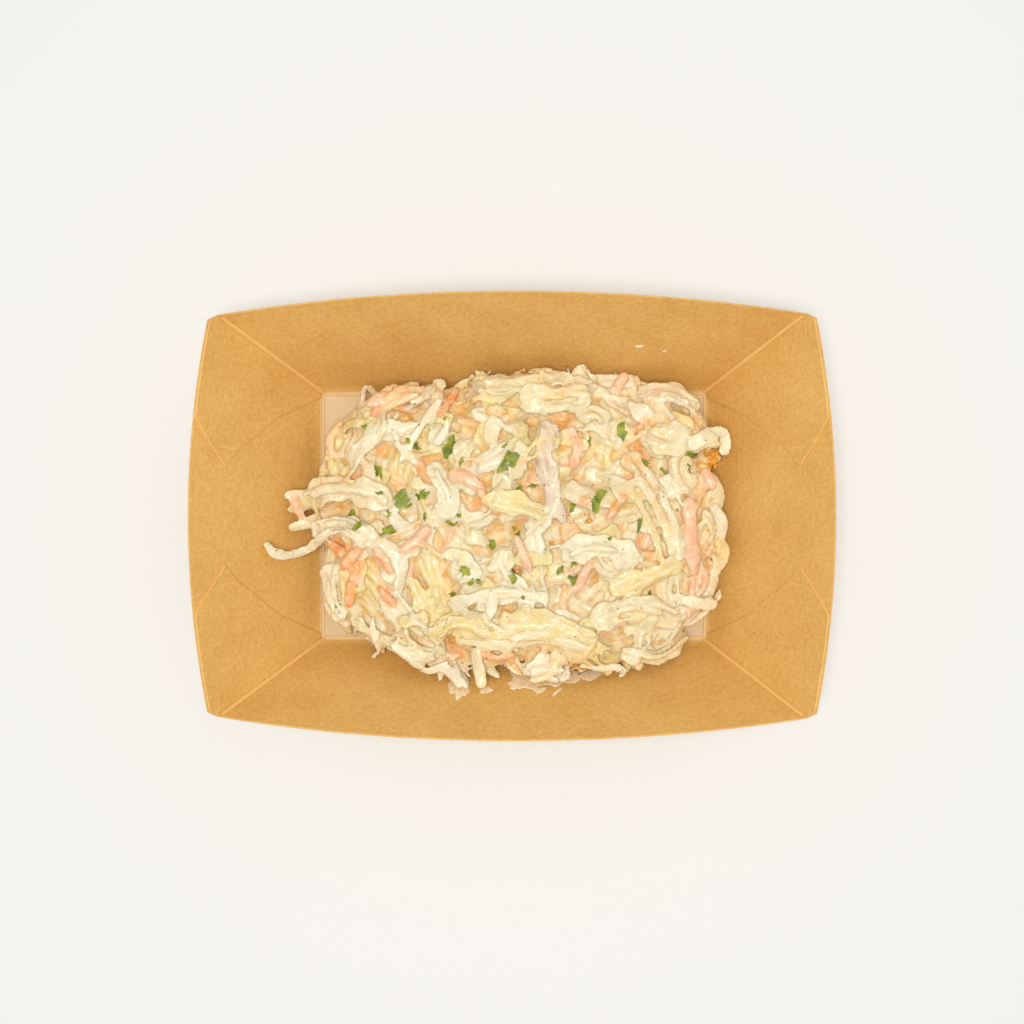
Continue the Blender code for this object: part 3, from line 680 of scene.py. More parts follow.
class Batch:
    """Shreds of one section: routes with the widths, slopes and colours that they have."""

    def __init__(self, flatness, bend, sides):
        self.flatness, self.bend, self.sides = flatness, bend, sides
        self.rows = []

    def lay(self, route, half_width, colour, stiff=2.5 * MM, sink=0.3, taper=0.35, ragged=0.1):
        """Lays one shred on the deck and raises the deck by it."""
        share = np.linspace(-1, 1, len(route))
        reach = np.arange(len(route)) * ROUTE_STEP
        phases = rng.uniform(0, math.tau), rng.uniform(0, math.tau)
        waves = 0.6 * np.sin(reach / SHORT_WAVE + phases[0]) + np.sin(reach / LONG_WAVE + phases[1])
        width = half_width * (1 - taper * np.abs(share) ** 4) * (1 + ragged * waves)
        width = width * np.where(np.abs(share) > 0.97, 0.75, 1.0)
        side = beside(route, slack=1e-9)
        edges = [deck.read(route + side * width[:, None] * k) for k in (-0.8, 0.0, 0.8)]
        support = 0.6 * np.max(edges, axis=0) + 0.4 * np.mean(edges, axis=0)
        reach = max(1, round(stiff / ROUTE_STEP))
        level = rolling(rolling(support, reach, np.max), reach + 1, np.mean)
        thick = self.flatness * half_width
        z = level + thick * (1 - 2 * sink) + ragged * 1.2 * MM * np.roll(waves, 3)
        roll = np.arctan2(edges[2] - edges[0], 1.6 * width + 0.3 * MM)
        roll = rolling(np.clip(roll, -STEEPEST_ROLL, STEEPEST_ROLL), 3, np.mean)
        z = np.maximum(z, tray_inside(route[:, 0], route[:, 1]) + thick)
        centre = np.column_stack((route, z))
        tilted = np.column_stack((side * np.cos(roll)[:, None], np.sin(roll)))
        for k in np.linspace(-1, 1, max(3, math.ceil(4 * half_width / DECK_CELL))):
            spot = centre + tilted * (width * k)[:, None]
            top = spot[:, 2] + thick * math.sqrt(max(0.0, 1 - k * k))
            deck.bury(spot, top)
        self.rows.append((centre, tilted, width, np.tile(colour, (len(route), 1))))

    def piece(self, name):
        """The batch's shreds as one mesh, swept along their routes."""
        middles, across, widths, tints = (np.concatenate(rows) for rows in zip(*self.rows))
        ends = set(np.cumsum([len(row[0]) for row in self.rows]))
        links = [(i, i + 1) for i in range(len(middles) - 1) if i + 1 not in ends]
        mesh = bpy.data.meshes.new(name)
        mesh.from_pydata(middles, links, [])
        note(mesh, "across", across, "FLOAT_VECTOR")
        note(mesh, "middle", middles, "FLOAT_VECTOR")
        note(mesh, "half_width", widths)
        note(mesh, "tint", tints, "FLOAT_VECTOR")
        sweep = shred_recipe(self.sides)
        return sweep.on(placed(name, mesh), Flatness=self.flatness, Bend=self.bend)


def shred_recipe(sides):
    """Sweeps a flattened, bent section along every route of a mesh."""
    recipe = Recipe("swept_shreds", Flatness="Float", Bend="Float")
    given = recipe.given

    def stored(name, kind):
        kept = "GeometryNodeInputNamedAttribute"
        return recipe.add(kept, {"Name": name}, "Attribute", data_type=kind)

    circle = recipe.add("GeometryNodeCurvePrimitiveCircle", {"Resolution": sides, "Radius": 1.0})
    here = recipe.add("GeometryNodeInputPosition")
    x, y = (recipe.add("ShaderNodeSeparateXYZ", {0: here}, output=axis) for axis in "XY")
    height = y * given["Flatness"] + x * x * given["Bend"]
    shaped = {"Geometry": circle, "Position": recipe.add("ShaderNodeCombineXYZ", {0: x, 1: height})}
    section = recipe.add("GeometryNodeSetPosition", shaped)
    route = recipe.add("GeometryNodeMeshToCurve", {0: given["Start"]})
    turned = {"Curve": route, "Normal": stored("across", "FLOAT_VECTOR")}
    route = recipe.add("GeometryNodeSetCurveNormal", turned, mode="FREE")
    shred = {"Curve": route, "Profile Curve": section, "Fill Caps": True}
    shred["Scale"] = stored("half_width", "FLOAT")
    recipe.yields(recipe.add("GeometryNodeCurveToMesh", shred))
    return recipe


rng = random.Random(SEED)
bed = bmesh.new()
bmesh.ops.create_uvsphere(bed, u_segments=160, v_segments=90, radius=1.0)
for vertex in bed.verts:
    azimuth = math.atan2(vertex.co.y, vertex.co.x)
    vertex.co = bed_point(azimuth, math.asin(max(-1.0, min(1.0, vertex.co.z))))
bmesh.ops.recalc_face_normals(bed, faces=bed.faces)
deck = Deck(bed)


def spread(count, share):
    """Places over the heap's plan by the golden angle, with how far out each one is."""
    for i in range(count):
        azimuth = i * math.pi * (3 - math.sqrt(5)) + rng.uniform(-0.3, 0.3)
        out = math.sqrt((i + 0.5) / count) * share
        yield heap_plan(azimuth, outline_reach(azimuth) * out), azimuth, out


def heading_for(azimuth, out):
    """Shreds lie any way in the middle, and mostly along the edge near it."""
    loose = math.pi / 2 if out < 0.6 else 0.55
    return azimuth + math.pi / 2 + rng.uniform(-loose, loose)


def varied(colour, amount=7):
    shift = rng.uniform(-amount, amount)
    return [max(0, min(255, c + shift + rng.uniform(-amount, amount) / 3)) for c in colour]


ribbons = Batch(flatness=0.34, bend=-0.12, sides=10)
threads = Batch(flatness=0.72, bend=0.0, sides=8)
leaves = Batch(flatness=0.29, bend=-0.28, sides=16)
sticks = Batch(flatness=0.62, bend=0.0, sides=8)


def clump(place, heading, length, count, colour):
    """Thin shreds that still lie side by side, as they came off the knife."""
    curl = rng.uniform(-1.3, 1.3)
    spacing = rng.uniform(1.5, 2.0) * MM
    fan = rng.uniform(-0.10, 0.10)
    side = np.array((math.sin(heading), -math.cos(heading)))
    for k in range(count):
        offset = k - (count - 1) / 2
        start = place + side * offset * spacing
        own_length = length * rng.uniform(0.75, 1.05)
        route = held_in(drift(start, heading + fan * offset, own_length, curl, 0.06), 0.3 * MM)
        threads.lay(route, rng.uniform(0.75, 1.05) * MM, varied(colour), stiff=2 * MM)


def pleated(route, half_width, colour):
    """A folded scrap of leaf: a broad band with low ridges where its veins and folds run."""
    leaves.lay(route, half_width, varied(colour, 4), ragged=0.2)
    side = beside(route)
    for _ in range(round(half_width / (0.8 * MM))):
        offset = rng.uniform(-0.85, 0.85) * half_width
        slant = np.linspace(1.0, rng.uniform(0.2, 1.1), len(route))
        vein = route + side * (offset * slant)[:, None]
        first, last = rng.randint(0, len(route) // 3), len(route) - rng.randint(0, len(route) // 3)
        width = rng.uniform(0.5, 1.1) * MM
        ribbons.lay(vein[first:last], width, varied(colour, 5), sink=rng.uniform(0.6, 1.0))


def strewn(count, share, lengths, curl, waver, overhang):
    """Routes that drift about places all over the heap."""
    for place, azimuth, out in spread(count, share):
        length = rng.uniform(*lengths) * MM
        heading = heading_for(azimuth, out)
        route = drift(place, heading, length, rng.uniform(-curl, curl), waver)
        yield held_in(route, overhang * MM)


SHADES = (CREAM, CREAM, IVORY, BUTTER, CREAM, IVORY, CREAM, BUTTER, CREAM, LIME, PEACH, IVORY)
for route in strewn(110, 0.97, (14, 30), 1.6, 0.12, 0.6):
    ribbons.lay(route, rng.uniform(0.9, 1.7) * MM, varied(rng.choice(SHADES)))
for place, azimuth, out in spread(50, 0.95):
    heading = heading_for(azimuth, out)
    clump(place, heading, rng.uniform(10, 20) * MM, rng.randint(3, 6), rng.choice(SHADES))
for route in strewn(30, 0.9, (9, 20), 0.7, 0.05, 0.5):
    sticks.lay(route, rng.uniform(0.9, 1.5) * MM, varied(rng.choice((PEACH, CARROT, PINK))))
for route in strewn(80, 0.95, (7, 15), 2.2, 0.3, -0.8):
    pleated(route, rng.uniform(1.7, 3.4) * MM, rng.choice(SHADES))
for route in strewn(36, 0.93, (6, 12), 1.8, 0.3, -0.8):
    half_width = rng.uniform(1.5, 2.4) * MM
    leaves.lay(route, half_width, varied(rng.choice(SHADES)), taper=0.3, ragged=0.25)

# The large shreds that lie on top, each by its half width, its colour and its route.
EDGE_ROUTES = (
    (1.7, CREAM, -36, 30, -45, 27, -50.5, 20, -52.5, 10),
    (1.6, BUTTER, -40, 26, -47, 23, -51, 15),
    (2.0, IVORY, -50.5, -8, -52, -16, -50.5, -25, -46, -31),
    (1.8, CREAM, -49, -6, -50.5, -14, -49, -22),
    (1.6, BUTTER, -52.5, 12, -53, 4, -52, -6),
    (1.8, CREAM, -62.5, 5.5, -57, 6, -51, 7.5, -44, 7),
    (1.6, BUTTER, -62, 1.5, -56.5, 3, -50, 4),
    (2.0, CREAM, -61.5, -3.5, -56, -2, -48, 0),
    (1.8, CREAM, 54, 12, 56.5, 6, 56, 0),
    (1.9, IVORY, 55, 3, 57, -3, 56, -8),
    (2.0, BUTTER, 56, -5, 57.5, -11, 55, -17),
    (2.0, IVORY, 56, -14, 54.5, -20, 52, -26),
)
for half_width, colour, *points in EDGE_ROUTES:
    ribbons.lay(through(points), half_width * MM, varied(colour), taper=0.4)

CARROT_ROUTES = (
    (2.2, PINK, -39, 30, -33, 31.5, -27, 31),
    (1.3, CARROT, -38, 27, -32, 29, -25, 28.5),
    (1.3, CARROT, -15, 35, -17, 31, -19, 27),
    (1.0, CARROT, -3, 37, -7, 33.5, -11, 30),
    (1.3, PEACH, -47, 26, -50, 21.5, -49.5, 17),
    (1.2, CARROT, -43, 16, -42, 12, -42.5, 9),
    (1.0, PEACH, -40, 16, -39.5, 12, -40, 9),
    (1.5, PINK, -60.5, 6, -59, 2, -57, -2),
    (1.9, PEACH, -55, 3, -50, 5, -45, 6),
    (1.8, PINK, -17, 11, -12, 10, -7, 6.5),
    (1.2, CARROT, -9, 7, -6, 3.5, -3.5, 0),
    (1.6, PINK, -22, -3, -26, -7, -30, -10),
    (1.7, CARROT, -53, -5, -49, -8, -45, -10.5),
    (1.5, CARROT, -40, -8, -43, -11, -46, -14),
    (1.6, CARROT, -41, -12, -43, -18, -44.5, -25),
    (1.6, CARROT, -37, -8.5, -34, -12, -32, -15),
    (1.2, CARROT, -36, -19, -33.5, -22, -31, -24),
    (1.3, PINK, 1, -5, 3, -10, 5, -15),
    (1.3, PINK, 21, -12, 19, -16, 17, -20.5),
    (0.9, PEACH, 36, 23, 32, 20, 29, 18.5),
    (2.3, PINK, 47.5, 5, 48, -6, 49, -16),
    (1.3, PINK, 52, 13, 53.5, 10, 54.5, 7),
    (1.3, CARROT, 24, 5.5, 20.5, 4.5, 18, 3),
    (1.1, CARROT, 30, 5.5, 27.5, 2, 25, -1),
    (1.3, CARROT, 31, -9.5, 36, -10.5, 41, -11.5),
    (1.2, CARROT, 4, -29.5, 8, -28, 12, -26),
    (1.3, CARROT, -9, -36, -4, -38, 1, -37),
    (1.5, PINK, 31, 39, 29.5, 36.5, 28, 34),
    (1.4, PINK, 52, -14, 52.5, -18, 51, -21),
)
for half_width, colour, *points in CARROT_ROUTES:
    sticks.lay(through(points), half_width * MM, varied(colour, 4))

LEAF_ROUTES = (
    (3.1, MAUVE, 10.5, 25, 8.5, 19, 9.5, 12, 11.5, 5),
    (1.7, PINK, 15.5, 24, 17.5, 18, 16, 13),
    (3.0, IVORY, -43, 12, -40.5, 19, -34, 23, -25, 24),
    (2.6, PEACH, -34, 30.5, -27, 33, -20, 33.5),
    (3.6, CREAM, -11, 36, -2, 35, 7, 36.5, 17, 36.5),
    (4.6, CREAM, 2, 32, 11, 31, 21, 32),
    (4.2, IVORY, 34, 33, 43, 33, 51, 29),
    (5.0, CREAM, 36, 21, 42, 20.5, 48, 22),
    (3.6, IVORY, -22, 14, -17, 5, -18, -1),
    (3.6, BUTTER, -8, 4.5, 2, 3, 9, 0),
    (4.2, IVORY, 13, -10, 24, -8, 34, -12),
    (3.6, BUTTER, 26, -20, 37, -16, 45, -12),
    (4.6, CREAM, 21, -28, 34, -25, 45, -29),
    (4.6, CREAM, -57, 4, -49, 7, -40, 6.5, -32, 3),
    (3.4, IVORY, -55, -4, -46, -2.5, -40, -5, -32, -9.5),
    (3.4, IVORY, -50, -13, -50, -21, -47, -29),
    (3.0, CREAM, -43.5, -26.5, -41, -30, -38, -33),
    (2.6, CREAM, -36, -33, -25, -37, -18, -36),
    (3.6, BUTTER, -22, -33, -15, -28, -6, -31),
    (5.2, BUTTER, -3, -28, 10, -29, 21, -36, 28, -41),
    (3.0, CREAM, 29, -37, 39, -38, 48, -33),
    (2.6, IVORY, -17, -24, -9, -21.5, 0, -21, 10, -22),
    (2.8, BUTTER, -27, -17, -24, -23, -22, -28),
    (2.6, BUTTER, -30, -28.5, -26, -28, -22, -27),
    (3.0, CREAM, 47, 18.5, 52, 20, 55.5, 18.5),
)
for half_width, colour, *points in LEAF_ROUTES:
    pleated(through(points), half_width * MM * 0.85, colour)

SHRED_ROUTES = (
    (2.0, MAUVE, 10, 9, 11, 4, 14, -2),
    (1.5, CREAM, 33, 12, 37, 5, 41, -3, 43, -12),
    (1.2, IVORY, 36, 13, 40, 6, 44, -3, 45, -12),
    (1.3, BUTTER, 30, 9, 34, 3, 38, -5, 40, -13),
    (1.5, CREAM, -14, -33, -2, -34, 10, -33, 20, -35),
    (1.3, BUTTER, -10, -31, 1, -32, 12, -31),
    (1.9, IVORY, -4, -19, -5, -23, -6, -27),
    (1.3, IVORY, -19, 31.5, -23, 26, -27, 20, -30, 14),
    (1.1, IVORY, -32, 23, -30, 18, -26, 14),
    (2.0, IVORY, -36, -6.5, -32, -9, -29.5, -14, -31, -22),
    (1.0, IVORY, -42.5, 28, -41.5, 33.5, -40, 35.5, -36, 32),
    (1.6, IVORY, -49, -4, -57, -9.5, -63.5, -10.5, -66.5, -7),
    (1.0, IVORY, -38, -27, -37.5, -33, -36.5, -36.5, -39, -39.5),
    (1.3, IVORY, -32, -34, -26.5, -39, -22.5, -41.5, -17, -39.5),
    (2.1, CREAM, -10, -35, -9, -40, -8.5, -43, -8, -46),
    (1.2, IVORY, 18, -40, 23, -41, 27, -40.5, 31, -42),
    (1.9, IVORY, 47, 18, 53, 22, 57, 22, 57, 16),
    (1.7, IVORY, 43, -22, 48, -23, 52, -24, 56, -24),
)
for half_width, colour, *points in SHRED_ROUTES:
    ribbons.lay(through(points), half_width * MM, varied(colour, 4), taper=0.3)

for route in strewn(70, 0.97, (7, 17), 2.4, 0.25, -0.5):
    colour = varied(rng.choice((IVORY, CREAM, BUTTER, IVORY, PEACH)))
    threads.lay(route, rng.uniform(0.5, 0.8) * MM, colour, stiff=1.2 * MM, sink=0.45)


def blurred(grid, reach):
    """The grid averaged over a square window, twice, which is close to a soft blur."""
    for _ in range(2):
        for axis in (0, 1):
            grid = np.apply_along_axis(rolling, axis, grid, reach, np.mean)
    return grid


# The dressing fills the bed up between the shreds, to a little below their tops.
pooled = blurred(deck.heights, 3)
for vertex in bed.verts:
    x, y, z = vertex.co
    spot = np.array((x, y))
    if z > WIDEST_LEVEL and deck.read(spot) > tray_inside(x, y) + 1.5 * MM:
        dip = max(0.0, noise.noise(Vector((x, y, 0.1)) / (4 * MM)) - 0.12)
        vertex.co.z = max(z, pooled[deck.cells(spot)] - DRESSING_DEPTH * (1.0 + 2.6 * dip))

batches = {"ribbons": ribbons, "threads": threads, "leaves": leaves, "sticks": sticks}
swept = [batch.piece(name) for name, batch in batches.items()]
for shreds in swept:
    bed.from_mesh(shreds.data)
heap = new_piece("slaw", bed)
remesh = heap.modifiers.new("dressing", "REMESH")
remesh.mode = "VOXEL"
remesh.voxel_size = DRESSING_GRAIN
remesh.use_smooth_shade = True
smooth = heap.modifiers.new("soften", "SMOOTH")
smooth.factor = 0.5
smooth.iterations = 2
settled(heap)
underside = heap.vertex_groups.new(name="underside")
underside.add([v.index for v in heap.data.vertices if v.normal.z < -0.2], 1.0, "REPLACE")
for region in ("underside", ""):
    triangles = sum(face.loop_total - 2 for face in heap.data.polygons)
    thin_out = heap.modifiers.new("thin_out", "DECIMATE")
    thin_out.ratio = min(1.0, SLAW_FACES / triangles)
    thin_out.vertex_group = region
    settled(heap)


def table(parts, field, width, kind=float):
    """A field of a mesh's vertices, edges or attribute, as an array with a row for each."""
    numbers = np.zeros(len(parts) * width, kind)
    parts.foreach_get(field, numbers)
    return numbers.reshape(-1, width)


mesh = heap.data
sources = [shreds.data for shreds in swept]
spots = np.vstack([table(source.vertices, "co", 3) for source in sources])
tints, acrosses, middles = (
    np.vstack([table(source.attributes[name].data, "vector", 3, np.float32) for source in sources])
    for name in ("tint", "across", "middle")
)
nearest = kdtree.KDTree(len(spots))
for index, spot in enumerate(spots):
    nearest.insert(spot, index)
nearest.balance()
skin = table(mesh.vertices, "co", 3)
facing = table(mesh.vertex_normals, "vector", 3)
lumps = [
    0.26 * noise.noise(Vector(spot) / (2.4 * MM)) + 0.12 * noise.noise(Vector(spot) / (1.0 * MM))
    for spot in skin
]
skin += facing * np.array(lumps)[:, None] * MM
skin[:, 2] = np.maximum(skin[:, 2], tray_inside(skin[:, 0], skin[:, 1]) - CLEARANCE + 0.05 * MM)
mesh.vertices.foreach_set("co", skin.ravel())
owners = np.array([nearest.find(spot)[1] for spot in skin + facing * 0.35 * MM])
sides = table(mesh.edges, "vertices", 2, int)
valence = np.bincount(sides.ravel(), minlength=len(skin))[:, None] + 1.0


def soaked(values, rounds):
    """Lets a value of the skin spread to its neighbours, as wet colours do."""
    for _ in range(rounds):
        total = values.copy()
        for a, b in ((0, 1), (1, 0)):
            for k in range(values.shape[1]):
                total[:, k] += np.bincount(sides[:, a], values[sides[:, b], k], minlength=len(values))
        values = total / valence
    return values


# The gap numbers mark where the skin lies below the blurred deck or in a hollow. The slaw finish
# paints these places darker as painted shade.
level = blurred(deck.heights, 5)
sunk = (level[deck.cells(skin)] - skin[:, 2]) / (2.2 * MM)
hollow = np.einsum("ij,ij->i", soaked(skin, 4) - skin, facing) / (0.22 * MM)
upward = np.clip((soaked(facing, 10)[:, 2] - 0.15) / 0.4, 0, 1)
sunk = np.maximum(sunk, 0.0) * upward + 0.7 * np.clip(hollow, 0, 1)
colour = soaked(linear(tints[owners] / 255), 4)
across = np.einsum("ij,ij->i", skin - middles[owners], acrosses[owners]) / MM
note(mesh, "tint", np.column_stack((colour, np.ones(len(colour)))), "FLOAT_COLOR")
note(mesh, "gap", np.clip(sunk, 0, 2))
note(mesh, "across", across)
for shreds in swept:
    bpy.data.objects.remove(shreds)


def slaw_finish():
    """Wet cabbage and carrot, their colours softened by a thin glossy coat of dressing."""
    finish = Finish(
        "dressed_cabbage",
        Subsurface_Weight=0.5,
        Subsurface_Radius=(1.0, 0.82, 0.45),
        Subsurface_Scale=0.7 * MM,
        Coat_Weight=0.28,
        Coat_Roughness=0.14,
        IOR=1.38,
    )
    coat = finish.clouds(2.6 * MM).ramp(0.42, 0.60)
    body = finish.mixed(coat * 0.45 + 0.04, finish.attribute("tint", "Color"), IVORY)
    stain = finish.clouds(7 * MM, detail=2.0).ramp(0.5, 0.72)
    body = finish.mixed(stain * 0.22, body, BUTTER)
    # Painted shade: crevices between the shreds are darkened towards tan, and the deepest holes
    # towards brown.
    gap = finish.attribute("gap")
    body = finish.mixed(gap.ramp(0.3, 1.1) * 0.7, body, GAP_SHADE)
    body = finish.mixed(gap.ramp(1.2, 1.7) * 0.8, body, DEEP_GAP_SHADE)
    ridges = (finish.attribute("across") * 7.0 + finish.clouds(3 * MM) * 5.0).math("SINE")
    fine = finish.clouds(0.6 * MM)
    beads = finish.clouds(1.5 * MM, detail=2.0)
    finish.set(Base_Color=body, Roughness=0.24 + fine * 0.14)
    finish.relief(fine * 0.7 + beads * 1.3 + ridges * 0.06, 0.36 * MM, 0.9)
    return finish.material


mesh.materials.clear()
mesh.materials.append(slaw_finish())
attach(heap, "root")
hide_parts("coleslaw")

# Parsley: leaves chopped into jagged flakes and strewn over the top. Each flake lies on
# the dressing, dished a little, and its cut edge stands clear here and there.
PARSLEY_DARK = (74, 92, 14)
PARSLEY_MID = (136, 144, 16)
PARSLEY_PALE = (172, 170, 34)
PARSLEY_FLAKES = (
    (-26, 30, 1.2, 40), (-18, 26, 1.4, 80), (-40, 24, 2.0, 10), (-16.5, 18.5, 6.5, 100),
    (-28, 20, 1.8, 60), (-26, 18.5, 3.2, 10), (-13.5, 14.5, 2.6, 70), (-36.5, 11.5, 4.8, 120),
    (-35.5, 6, 2.2, 15), (-30, 4.5, 5.4, 45), (-24, 5.5, 4.6, 25), (-43.5, 0.5, 4.4, 30),
    (-28, 2.5, 2.4, 30), (-33, 0.5, 2.2, 110), (-23.5, -0.5, 2.4, 80), (-41.5, -2.5, 3.4, 70),
    (-16, -2, 3.8, 20), (-33.5, -4, 4.6, 10), (-14, 0, 1.4, 50), (29.5, 22.5, 4.6, 100),
    (20.5, 19.5, 3.8, 60), (-0.5, 14.5, 7.2, 52), (-2, 18.5, 1.6, 40), (35.5, 14, 4.2, 120),
    (41, 12, 2.2, 130), (48, 16.5, 4.2, 165), (47.5, 13.5, 1.3, 140), (22.5, 4, 7.2, 66),
    (16, 2.5, 3.4, 80), (2, 7, 2.4, 30), (5.5, 8, 3.2, 10), (-5, -7.5, 4.6, 95),
    (0.5, -3.5, 1.7, 45), (1.5, -5, 1.9, 60), (-12.5, -14.5, 4.2, 80), (-11, -18, 4.0, 60),
    (-9, -17.5, 1.8, 0), (-16, -21, 2.8, 175), (0, -16.5, 3.0, 105), (3, -21.5, 1.3, 60),
    (34, -2.5, 3.8, 65), (13, -14.5, 3.0, 75), (16.5, -12.5, 3.4, 70), (16.5, -17.5, 5.0, 92),
    (26, -6, 1.6, 20), (10, -36.5, 0.9, 0), (44.5, 1.5, 1.0, 90), (37, -20.5, 1.2, 60),
)
PARSLEY_THICKNESS = 0.22 * MM
PARSLEY_LIFT = 0.12 * MM


def ray_tree(piece):
    """A piece's surface, ready to be met by rays."""
    bm = bmesh.new()
    bm.from_mesh(piece.data)
    tree = BVHTree.FromBMesh(bm)
    bm.free()
    return tree


def on_slaw(x, y):
    """Height of the slaw, or of the board beside it, at a place of the plan."""
    return seen_from_above(slaw_tree, x, y, float(tray_inside(x, y)))


def parsley_flake(bm, x, y, size, turn, slender):
    """A flake as two rings round a middle point, draped on the slaw under it."""
    corners = rng.randint(8, 12)
    long_way = np.array((math.cos(turn), math.sin(turn)))
    short_way = np.array((-math.sin(turn), math.cos(turn)))
    base = on_slaw(x, y)
    rings = []
    jags = [rng.choice((0.55, 0.95, 1.3)) * rng.uniform(0.88, 1.12) for _ in range(corners)]
    for share in (0.5, 1.0):
        ring = []
        for k, jag in enumerate(jags):
            azimuth = math.tau * (k + 0.3 * math.sin(k * 2.1)) / corners
            place = np.array((x, y)) + size / 2 * share * jag * (
                long_way * math.cos(azimuth) + short_way * math.sin(azimuth) * slender
            )
            drape = min(max(on_slaw(*place), base - 0.9 * MM), base + 0.9 * MM)
            height = 0.55 * drape + 0.45 * base + PARSLEY_LIFT + 0.15 * MM * rng.uniform(0, 1) * share
            ring.append(bm.verts.new((*place, max(height, drape + 0.05 * MM))))
        rings.append(ring)
    middle = bm.verts.new((x, y, base + PARSLEY_LIFT + 0.1 * MM))
    inner, outer = rings
    for k in range(corners):
        after = (k + 1) % corners
        bm.faces.new((middle, inner[k], inner[after]))
        bm.faces.new((inner[k], outer[k], outer[after], inner[after]))


def parsley_finish():
    finish = Finish(
        "parsley",
        Subsurface_Weight=0.15,
        Subsurface_Radius=(0.4, 0.8, 0.1),
        Subsurface_Scale=0.6 * MM,
    )
    tone = finish.clouds(2.4 * MM, rough=0.6)
    leaf = finish.mixed(tone.ramp(0.36, 0.56), PARSLEY_DARK, PARSLEY_MID)
    leaf = finish.mixed(tone.ramp(0.56, 0.72) * 0.8, leaf, PARSLEY_PALE)
    cells = {"Vector": finish.place(), "Scale": 1 / (0.9 * MM)}
    veins = finish.add("ShaderNodeTexVoronoi", cells, feature="DISTANCE_TO_EDGE")
    leaf = finish.mixed((1 - veins.ramp(0.0, 0.12)) * 0.35, leaf, PARSLEY_PALE)
    finish.set(Base_Color=leaf, Roughness=0.42 + tone * 0.2)
    finish.relief(veins, 0.1 * MM, 0.5)
    return finish.material


slaw_tree = ray_tree(heap)
flakes = bmesh.new()
for x, y, size, turn in PARSLEY_FLAKES:
    slender = rng.uniform(0.45, 0.75) if size > 2 else rng.uniform(0.5, 0.9)
    parsley_flake(flakes, x * MM, y * MM, 0.92 * size * MM, math.radians(turn), slender)
bmesh.ops.recalc_face_normals(flakes, faces=flakes.faces)
parsley = new_piece("parsley", flakes, parsley_finish())
body = parsley.modifiers.new("thickness", "SOLIDIFY")
body.thickness = PARSLEY_THICKNESS
body.offset = 0.0
settled(parsley, sharp_angle=60)
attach(parsley, "root")

# Pepper: coarse black grains stirred into the dressing, scattered by a node tree on the
# upward faces of the slaw and half sunk into it.
PEPPER_SIZE = 0.22 * MM
PEPPER_DENSITY = 9000.0
PEPPER_SEED = 5
PEPPER_DARK = (62, 52, 38)
PEPPER_PALE = (112, 92, 58)


def pepper_finish():
    finish = Finish("pepper", Roughness=0.7)
    finish.set(Base_Color=finish.mixed(finish.clouds(0.3 * MM), PEPPER_DARK, PEPPER_PALE))
    return finish.material


def grain_recipe(name, material):
    """Grains on the upward faces of a surface, with their size, density and seed as inputs."""
    recipe = Recipe(name, Size="Float", Density="Float", Seed="Int")
    given = recipe.given

    def drawn(low, high):
        values = {"Min": low, "Max": high}
        return recipe.add("FunctionNodeRandomValue", values, "Value", data_type="FLOAT_VECTOR")

    normal = recipe.add("GeometryNodeInputNormal")
    rise = recipe.add("ShaderNodeSeparateXYZ", {0: normal}, output="Z")
    upward = recipe.add("FunctionNodeCompare", {0: rise, 1: 0.6}, operation="GREATER_THAN")
    where = {"Mesh": given["Start"], "Selection": upward}
    where |= {"Density": given["Density"], "Seed": given["Seed"]}
    spots = recipe.add("GeometryNodeDistributePointsOnFaces", where)
    ball = {"Radius": given["Size"], "Subdivisions": 1}
    grain = {"Points": spots, "Instance": recipe.add("GeometryNodeMeshIcoSphere", ball)}
    grain["Scale"] = drawn((0.5, 0.5, 0.4), (1.7, 1.1, 0.7))
    grain["Rotation"] = drawn((0.0, 0.0, 0.0), (0.6, 0.6, math.tau))
    recipe.yields(recipe.add("GeometryNodeInstanceOnPoints", grain), material)
    return recipe


pepper = placed("pepper", heap.data.copy())
grains = grain_recipe("pepper_grains", pepper_finish())
grains.on(pepper, Size=PEPPER_SIZE, Density=PEPPER_DENSITY, Seed=PEPPER_SEED)
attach(pepper, "root")

# Smears and bits: dressing that has run down the wall under the heap, white drops on the
# far wall, and crisp amber crumbs of fried onion, each a flat drop with an uneven rim.
SMEARS = (
    (-14.0, -45.4, 2.9, 2.6, 20),
    (3.0, -44.2, 4.6, 2.2, -6),
    (11.5, -43.6, 6.4, 2.4, 4),
    (7.5, -46.6, 1.5, 0.7, 10),
    (21.4, -43.2, 3.6, 1.2, 8),
    (-7.0, -46.7, 1.7, 0.7, 12),
    (12.0, -47.0, 1.8, 0.25, 34),
)
DROPS = ((34.1, 45.5, 1.05, 0.3, 4), (41.0, 44.4, 0.6, 0.2, 10))
CRUMBS = (
    (54.4, 15.8, 2.5, 1.8, 60),
    (55.6, 13.9, 1.6, 1.2, 20),
    (52.8, 17.0, 1.3, 1.0, 110),
    (20.4, -1.4, 1.1, 0.7, 30),
    (10.6, -7.6, 0.9, 0.6, 140),
    (-27.4, 26.6, 0.6, 0.5, 0),
)


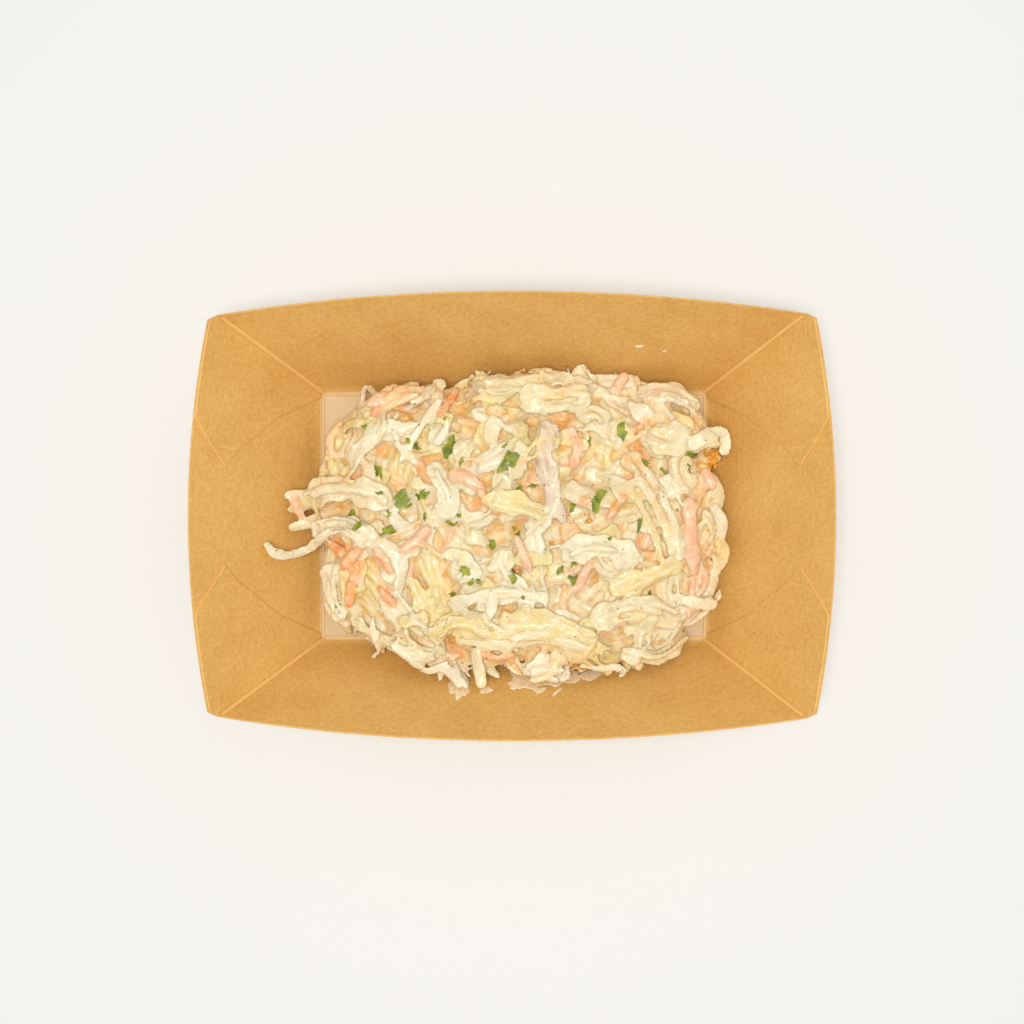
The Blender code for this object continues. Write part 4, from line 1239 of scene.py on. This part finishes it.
def flat_drop(bm, centre, half_length, half_width, turn, swell, ground, away, drape):
    """A closed drop with an uneven rim, lying on the ground that a function gives.

    Its rim follows that ground up or down by drape at the most.
    """
    rest = ground(*centre)
    phase = rng.uniform(0, 50)
    around = 44
    rings = []
    for share in (0.35, 0.7, 0.92, 1.0):
        ring = []
        for k in range(around):
            azimuth = math.tau * k / around
            round_trip = Vector((math.cos(azimuth), math.sin(azimuth), phase))
            wobble = 1 + 0.5 * noise.noise(round_trip * 1.4) + 0.3 * noise.noise(round_trip * 4.0)
            u = half_length * share * wobble * math.cos(azimuth)
            v = half_width * share * wobble * math.sin(azimuth)
            x = centre[0] + u * math.cos(turn) - v * math.sin(turn)
            y = centre[1] + u * math.sin(turn) + v * math.cos(turn)
            lump = 1 + 0.5 * noise.noise(Vector((x, y, phase)) / (1.2 * MM))
            level = min(max(ground(x, y), rest - drape), rest + drape)
            spot = Vector((x, y, level)) + away * swell * (1 - share**2) ** 0.5 * lump
            ring.append(bm.verts.new(spot))
        rings.append(ring)
    x, y = centre
    top = bm.verts.new(Vector((x, y, rest)) + away * swell)
    base = bm.verts.new(Vector((x, y, rest)) - away * 0.05 * MM)
    for k in range(around):
        after = (k + 1) % around
        bm.faces.new((top, rings[0][k], rings[0][after]))
        for inner, outer in zip(rings, rings[1:]):
            bm.faces.new((inner[k], outer[k], outer[after], inner[after]))
        bm.faces.new((rings[-1][k], base, rings[-1][after]))


def drop_finish(name, light, dark, **surface):
    finish = Finish(name, **surface)
    tone = finish.clouds(0.9 * MM).ramp(0.35, 0.65)
    finish.set(Base_Color=finish.mixed(tone, light, dark))
    return finish.material


def drops_piece(name, places, material, swell, ground, away, drape=1.0):
    bm = bmesh.new()
    for x, y, half_length, half_width, turn in places:
        size = (half_length * MM, half_width * MM)
        flat_drop(bm, (x * MM, y * MM), *size, math.radians(turn), swell, ground, away, drape)
    bmesh.ops.recalc_face_normals(bm, faces=bm.faces)
    piece = settled(new_piece(name, bm, material))
    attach(piece, "root")


def on_board(x, y):
    """Height of the board's inner face at a place of the plan."""
    return seen_from_above(board_tree, x, y)


board_tree = ray_tree(tray)
wall_tilt = math.atan(LONG_WALL_LEAN)
inward = Vector((0, math.cos(wall_tilt), math.sin(wall_tilt)))
film = drop_finish("thin_dressing", (255, 242, 218), (250, 212, 154), Roughness=0.35)
drops_piece("smears", SMEARS, film, 0.07 * MM, on_board, inward)
white = drop_finish("dressing_drops", (246, 236, 214), (240, 222, 186), Roughness=0.3)
drops_piece("wall_drops", DROPS, white, 0.25 * MM, on_board, inward * Vector((1, -1, 1)))
amber = drop_finish("fried_crumbs", (242, 186, 80), (204, 136, 40), Roughness=0.3)
drops_piece("crumbs", CRUMBS, amber, 1.3 * MM, on_slaw, Vector((0, 0, 1)), drape=0.8 * MM)

[[list(map(float, corner)) for corner in box] for box in (cad_box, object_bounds())]
